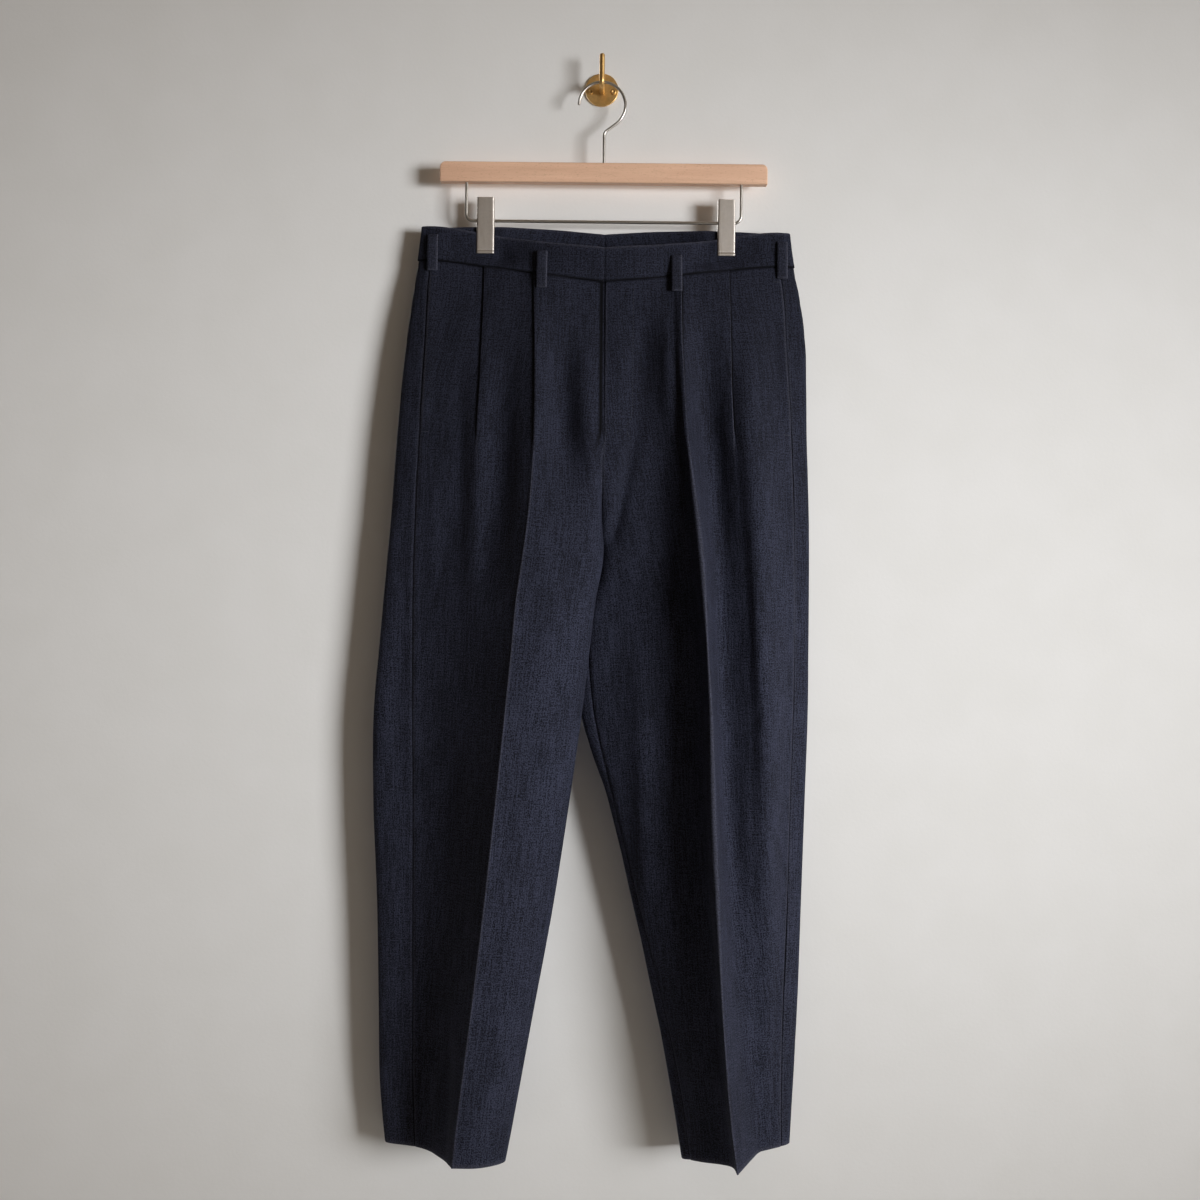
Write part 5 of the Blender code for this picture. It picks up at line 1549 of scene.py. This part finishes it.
def make_wall_plate():
    """The round plate on the wall, its front edge rounded and its back edge broken."""
    edge = arc((PLATE_RADIUS - PLATE_EDGE, PLATE_THICK - PLATE_EDGE), PLATE_EDGE, 90, 0, 8)
    profile = np.concatenate([
        [(AXIS, PLATE_THICK)], pair(np.linspace(3, 18, 12), PLATE_THICK), edge,
        [(PLATE_RADIUS, PLATE_BREAK), (PLATE_RADIUS - PLATE_BREAK, 0.0), (AXIS, 0.0)]])
    plate = revolve("brass_plate", profile, (0, 0), aged_brass(), 96)
    settle(plate, "wall_plate", 50)


def make_screw(side):
    """A screw head: a low dome with a round recess in its middle."""
    sign = -1.0 if side == "left" else 1.0
    foot, top = PLATE_THICK + 0.02, PLATE_THICK + 0.3 + SCREW_HEAD
    profile = np.array([
        (AXIS, foot + 0.75), (1.35, foot + 0.75), (1.5, foot + 0.85), (1.6, top - 0.25),
        (1.75, top - 0.1), (2.0, top), (2.4, top - 0.05), (2.8, top - 0.3), (3.05, top - 0.65),
        (SCREW_RADIUS, top - 1.1), (SCREW_RADIUS, foot), (AXIS, foot)])
    centre = (sign * SCREW_OFFSET, SCREW_Z)
    screw = revolve(f"round_screw_{side}", profile, centre, aged_brass(), 40)
    settle(screw, f"wall_screw_{side}", 35)


def make_arm():
    """The arm: a rod straight out of the plate, its root sunk in it, that turns up."""
    root, tip = PLATE_THICK - ARM_SUNK + ARM_RADIUS, ARM_TIP_Z - ARM_RADIUS
    bend_depth, bend_z = ARM_RISER_DEPTH - ARM_BEND, ARM_Z + ARM_BEND
    path = np.concatenate([
        pair(np.linspace(root, bend_depth, 12, endpoint=False), ARM_Z),
        arc((bend_depth, bend_z), ARM_BEND, 270, 360, 14),
        pair(ARM_RISER_DEPTH, np.linspace(bend_z, tip, 11)[1:])])
    path = [(0, -depth, z) for depth, z in path]
    arm = tube("brass_arm", path, ARM_RADIUS, (1, 0, 0), aged_brass(), 32, 8)
    settle(arm, "wall_arm")


# ---- Stitching ----


# Stitches: pitch, length and radius along a seam and in a tack, how far in from a pocket's
# edge they run, and how far from it or from the fly's end the cloth under them reaches
STITCH = (3.4, 2.4, 0.24)
POCKET_TACK, FLY_TACK = (0.8, 2.2, 0.32), (0.7, 2.0, 0.3)
STITCH_LIFT, STITCH_IN, TACK_LONG, POCKET_REACH, FLY_REACH = 0.05, 2.6, 7.0, 30.0, 75.0
STITCH_START, STITCH_STOP, TACK_START = 4.0, 2.0, 3.0
MOUTH_ROW, TACK_COLUMN = 60, 2
FLY_LINE = ((33.0, -234.0), (32.5, -375.0))
FLY_CURVE = ((6.0, -378.0), 26.5, 0, -78, 12)
FLY_TACK_LINE = ((26.5, -401.5), (29.5, -408.0))


def stitch_along(name, cloth, under, points, pitch, length, radius):
    """Stitches at one pitch along a line of (x, z) points, on the outer side of a cloth."""
    grid = cloth["grid"]
    normals = grid_normals(grid)
    if normals[..., 1][under].mean() > 0:
        normals = -normals
    places = paced(points, pitch) * MM
    lift = settings().cloth_thickness / MM / 2 + STITCH_LIFT
    on, away = drape(grid[under], normals[under], places, lift)
    obj = bead_line(name, on, np.gradient(on, axis=0), away, thread(), length, radius)


def nearest(values, value):
    """The place of the number nearest to a value."""
    return int(np.argmin(np.abs(values - value)))


def make_stitches():
    """The stitches down each pocket's mouth and the tacks at its ends, then the curved line
    beside the fly and its tack."""
    for side in SIDES:
        sign = -1 if side == "left" else 1
        cloth = front_cloth(side)
        under = cloth["at"] < POCKET_REACH
        rows = (ROWS < POCKET_TOP_Z - STITCH_START) & (ROWS > POCKET_END_Z + STITCH_STOP)
        column = nearest(cloth["at"][MOUTH_ROW], STITCH_IN)
        edge = cloth["grid"][rows][:, column][:, [0, 2]] / MM
        stitch_along(f"pocket_stitches_{side}", cloth, under, edge, *STITCH)
        for level, word in ((POCKET_TOP_Z - TACK_START, "top"), (POCKET_END_Z, "end")):
            x, z = cloth["grid"][nearest(ROWS, level), TACK_COLUMN][[0, 2]] / MM
            bar = [(x, z), (x - sign * TACK_LONG, z)]
            stitch_along(f"pocket_tack_{word}_{side}", cloth, under, bar, *POCKET_TACK)
    cloth = front_cloth("right")
    under = cloth["end"] < FLY_REACH
    run = np.concatenate([FLY_LINE, arc(*FLY_CURVE)]) + (CENTRE_X, 0)
    stitch_along("fly_stitches", cloth, under, run, *STITCH)
    tack = np.array(FLY_TACK_LINE) + (CENTRE_X, 0)
    stitch_along("fly_tack", cloth, under, tack, *FLY_TACK)


# ---- Stage ----


# In metres: the wall's front face a little behind the plate's back, half the wall's width,
# its top and its foot, and the floor's near edge. Then where each light and the camera
# stand and what the lights look at.
WALL_Y, WALL_HALF, WALL_TOP, WALL_FOOT, FLOOR_Y = 0.0006, 4, 2.2, -1.5, -5
WINDOW_SIZE, WINDOW_SPREAD, WINDOW_COLOUR = 1.25, 38.6, (0.98, 1.0, 1.03)
WINDOW_PLACE, WINDOW_AIM = (2.93, -2.73, -0.52), (0.12, 0.0, -0.59)
FAR_SPREAD, FAR_PLACE, FAR_AIM = 30, (-1.0, 2.6, 0.2), (0.0, 0.0, -0.62)
CAMERA_PLACE, CAMERA_TILT, CAMERA_ROLL, SENSOR = (0.0039, -1.8, -0.5893), 90, -0.6, 36.0
ROOM_LEFT, ROOM_RIGHT = (0.14, 0.11, 0.09, 1.0), (1.36, 1.05, 0.74, 1.0)


def make_stage():
    """The wall behind, a pale floor far below, a soft window light from the right and the
    camera, at the height of the thighs. A sun on the wall's far side lights the backs
    for views from behind. The wall casts no shadow, so this light also reaches the fronts."""
    look = settings()
    left, right = -WALL_HALF, WALL_HALF
    wall = flat_sheet("wall", [
        (left, WALL_Y, WALL_FOOT), (right, WALL_Y, WALL_FOOT),
        (right, WALL_Y, WALL_TOP), (left, WALL_Y, WALL_TOP)], plaster())
    floor = flat_sheet("floor", [
        (left, FLOOR_Y, WALL_FOOT), (right, FLOOR_Y, WALL_FOOT),
        (right, WALL_Y, WALL_FOOT), (left, WALL_Y, WALL_FOOT)], pale_floor())
    make_room(look.room_light)
    lamp = make_lamp("window", "AREA", look.window_power, WINDOW_PLACE, WINDOW_AIM)
    lamp.shape = "RECTANGLE"
    lamp.size, lamp.size_y = WINDOW_SIZE, WINDOW_SIZE
    lamp.spread = math.radians(WINDOW_SPREAD)
    lamp.color = WINDOW_COLOUR
    wall.visible_shadow = False
    sun = make_lamp("far_side", "SUN", look.far_power, FAR_PLACE, FAR_AIM)
    sun.angle = math.radians(FAR_SPREAD)
    camera_data = bpy.data.cameras.new("camera")
    camera_data.lens = look.lens
    camera_data.sensor_width = SENSOR
    camera = linked("camera", camera_data)
    camera.location = CAMERA_PLACE
    camera.rotation_euler = (math.radians(CAMERA_TILT), math.radians(CAMERA_ROLL), 0)
    bpy.context.scene.camera = camera
    bpy.context.scene.view_settings.view_transform = "Standard"


def make_lamp(name, kind, power, place, target):
    """A light of one power, at a place and turned to a target."""
    lamp = bpy.data.lights.new(name, kind)
    lamp.energy = power
    aim_at(linked(name, lamp), place, target)
    return lamp


def make_room(strength):
    """Light from all round: a dim, warm room, darker on the left, and none behind the wall."""
    world = bpy.data.worlds.new("room")
    world.use_nodes = True
    tree = world.node_tree
    way = node(tree, "SeparateXYZ", {0: node(tree, "TexCoord").outputs["Generated"]}).outputs
    tone = mixed(tree, between(tree, way["X"], -0.5, 0.3), ROOM_LEFT, ROOM_RIGHT)
    tone = mixed(tree, between(tree, way["Y"], 0.0, 0.1), tone, (0.0, 0.0, 0.0, 1.0))
    fill(tree, tree.nodes["Background"].inputs, {"Color": tone, "Strength": strength})
    bpy.context.scene.world = world


def flat_sheet(name, corners, finish):
    """One flat face with four corners."""
    mesh = bpy.data.meshes.new(name)
    mesh.from_pydata(corners, [], [(0, 1, 2, 3)])
    mesh.materials.append(finish)
    return linked(name, mesh)


def aim_at(obj, place, target):
    """Stands an object at a place, its -Z axis towards a target and its Y axis up."""
    away = np.array(place) - np.array(target)
    obj.location = place
    obj.rotation_euler = (
        math.acos(away[2] / np.linalg.norm(away)), 0, math.atan2(away[0], -away[1]))


# ---- Settings, operators and panel ----


def colour_setting(name, description, default):
    """A colour that a user may change."""
    return bpy.props.FloatVectorProperty(
        name=name, description=description, default=default, size=3, min=0.0, max=1.0,
        subtype="COLOR")


def length_setting(name, description, default, low, high):
    """A length in metres that a user may change."""
    return bpy.props.FloatProperty(
        name=name, description=description, default=default, min=low, max=high,
        subtype="DISTANCE", unit="LENGTH")


class TrousersSettings(bpy.types.PropertyGroup):
    """The sizes, colours and lights that a user may change"""
    cloth_thickness: length_setting(
        "Cloth thickness", "Thickness of one layer of denim",
        0.001, 0.0005, 0.0015)
    pocket_lift: length_setting(
        "Pocket lift", "How far each pocket's mouth stands open",
        0.0011, 0.0, 0.004)
    pucker: length_setting(
        "Pucker", "Depth of the soft puckers in the back of the waistband",
        0.0004, 0.0, 0.002)
    warp_colour: colour_setting(
        "Warp", "Colour of the dark yarns that run down the leg", (0.0033, 0.0036, 0.0058))
    weft_colour: colour_setting(
        "Weft", "Colour of the paler yarns that show between them", (0.0365, 0.0403, 0.0665))
    # It also colours the painted highlight along the belt loops' right edges.
    edge_colour: colour_setting(
        "Edges", "Colour of the yarns along pressed and sewn edges", (0.085, 0.087, 0.115))
    thread_colour: colour_setting(
        "Thread", "Colour of the sewing thread", (0.022, 0.024, 0.042))
    wood_colour: colour_setting(
        "Wood", "Colour of the hanger's bar", (0.77, 0.49, 0.335))
    wood_dark: colour_setting(
        "Wood, dark bands", "Colour of the darker bands along the grain", (0.64, 0.385, 0.255))
    steel_colour: colour_setting(
        "Nickel", "Colour of the clips", (0.62, 0.575, 0.525))
    wire_colour: colour_setting(
        "Wire", "Colour of the hanger's wires", (0.50, 0.475, 0.435))
    brass_colour: colour_setting(
        "Brass", "Colour of the wall hook", (0.82, 0.54, 0.22))
    wall_colour: colour_setting(
        "Wall", "Colour of the painted wall", (0.72, 0.71, 0.69))
    window_power: bpy.props.FloatProperty(
        name="Window light", description="Power of the light from the right",
        default=11.2, min=0.0, max=2000.0, unit="POWER")
    room_light: bpy.props.FloatProperty(
        name="Room light", description="Strength of the light from all round",
        default=0.175, min=0.0, max=5.0)
    far_power: bpy.props.FloatProperty(
        name="Far light", description="Strength of the light on the side turned to the wall",
        default=1.9, min=0.0, max=20.0)
    lens: bpy.props.FloatProperty(
        name="Lens", description="Focal length of the camera, in millimetres",
        default=46.68, min=20.0, max=200.0, subtype="DISTANCE_CAMERA", unit="CAMERA")


class TROUSERS_OT_fronts(bpy.types.Operator):
    """Makes the two fronts, with their pleats and pressed creases"""
    bl_idname = "trousers.fronts"
    bl_label = "Make Fronts"
    bl_options = {"REGISTER"}

    def execute(self, context):
        for side in SIDES:
            make_panel("front", side)
        return {"FINISHED"}


class TROUSERS_OT_backs(bpy.types.Operator):
    """Makes the two backs, which come round to the front at the sides"""
    bl_idname = "trousers.backs"
    bl_label = "Make Backs"
    bl_options = {"REGISTER"}

    def execute(self, context):
        for side in SIDES:
            make_panel("back", side)
        return {"FINISHED"}


class TROUSERS_OT_waistband(bpy.types.Operator):
    """Makes both halves of the waistband"""
    bl_idname = "trousers.waistband"
    bl_label = "Make Waistband"
    bl_options = {"REGISTER"}

    def execute(self, context):
        for side in SIDES:
            make_band(side)
        return {"FINISHED"}


class TROUSERS_OT_underlays(bpy.types.Operator):
    """Makes the underlap behind the fly and the strips behind the pockets"""
    bl_idname = "trousers.underlays"
    bl_label = "Make Fly Underlap and Pocket Strips"
    bl_options = {"REGISTER"}

    def execute(self, context):
        make_fly_shield()
        for side in SIDES:
            make_pocket_strip(side)
        return {"FINISHED"}


class TROUSERS_OT_belt_loops(bpy.types.Operator):
    """Makes the five belt loops"""
    bl_idname = "trousers.belt_loops"
    bl_label = "Make Belt Loops"
    bl_options = {"REGISTER"}

    def execute(self, context):
        for loop in LOOPS:
            make_belt_loop(*loop)
        return {"FINISHED"}


class TROUSERS_OT_stitching(bpy.types.Operator):
    """Sews the stitches of the pockets and the fly"""
    bl_idname = "trousers.stitching"
    bl_label = "Make Stitching"
    bl_options = {"REGISTER"}

    def execute(self, context):
        make_stitches()
        return {"FINISHED"}


class TROUSERS_OT_hanger(bpy.types.Operator):
    """Makes the wooden bar, its hook and its wire frame"""
    bl_idname = "trousers.hanger"
    bl_label = "Make Hanger"
    bl_options = {"REGISTER"}

    def execute(self, context):
        make_bar()
        make_frame_wire()
        make_hook()
        return {"FINISHED"}


class TROUSERS_OT_clips(bpy.types.Operator):
    """Makes both clips, and finishes the tubes that hold them on the wire"""
    bl_idname = "trousers.clips"
    bl_label = "Make Clips"
    bl_options = {"REGISTER"}

    def execute(self, context):
        for side in SIDES:
            for face in ("front", "back"):
                make_clip_plate(side, face)
            pivot = bpy.data.objects[f"clip_{side}_tube"]
            for slot in pivot.material_slots:
                slot.material = brushed_nickel()
        return {"FINISHED"}


class TROUSERS_OT_wall_hook(bpy.types.Operator):
    """Makes the brass plate, its two screws and its arm"""
    bl_idname = "trousers.wall_hook"
    bl_label = "Make Wall Hook"
    bl_options = {"REGISTER"}

    def execute(self, context):
        make_wall_plate()
        for side in SIDES:
            make_screw(side)
        make_arm()
        return {"FINISHED"}


class TROUSERS_OT_stage(bpy.types.Operator):
    """Makes the wall, the floor, the lights and the camera"""
    bl_idname = "trousers.stage"
    bl_label = "Make Stage"
    bl_options = {"REGISTER"}

    def execute(self, context):
        make_stage()
        return {"FINISHED"}


OPERATORS = (
    TROUSERS_OT_stage, TROUSERS_OT_fronts, TROUSERS_OT_backs, TROUSERS_OT_waistband,
    TROUSERS_OT_underlays, TROUSERS_OT_belt_loops, TROUSERS_OT_stitching, TROUSERS_OT_hanger,
    TROUSERS_OT_clips, TROUSERS_OT_wall_hook,
)


class TROUSERS_PT_pieces(bpy.types.Panel):
    """Lists the pieces and the settings"""
    bl_idname = "TROUSERS_PT_pieces"
    bl_label = "Denim Trousers"
    bl_space_type = "VIEW_3D"
    bl_region_type = "UI"
    bl_category = "Trousers"

    def draw(self, context):
        """A button for each operator and a field for each setting."""
        for operator in OPERATORS:
            self.layout.operator(operator.bl_idname)
        for name in TrousersSettings.__annotations__:
            self.layout.prop(context.scene.trousers, name)


CLASSES = (TrousersSettings, *OPERATORS, TROUSERS_PT_pieces)


def register():
    """Adds the settings, the operators and the panel."""
    for made in CLASSES:
        bpy.utils.register_class(made)
    bpy.types.Scene.trousers = bpy.props.PointerProperty(type=TrousersSettings)


def unregister():
    """Takes them away again, in the other order."""
    del bpy.types.Scene.trousers
    for made in reversed(CLASSES):
        bpy.utils.unregister_class(made)


def main():
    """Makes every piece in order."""
    register()
    for operator in OPERATORS:
        group, name = operator.bl_idname.split(".")
        getattr(getattr(bpy.ops, group), name)()
    bpy.context.view_layer.update()


if __name__ == "__main__":
    main()
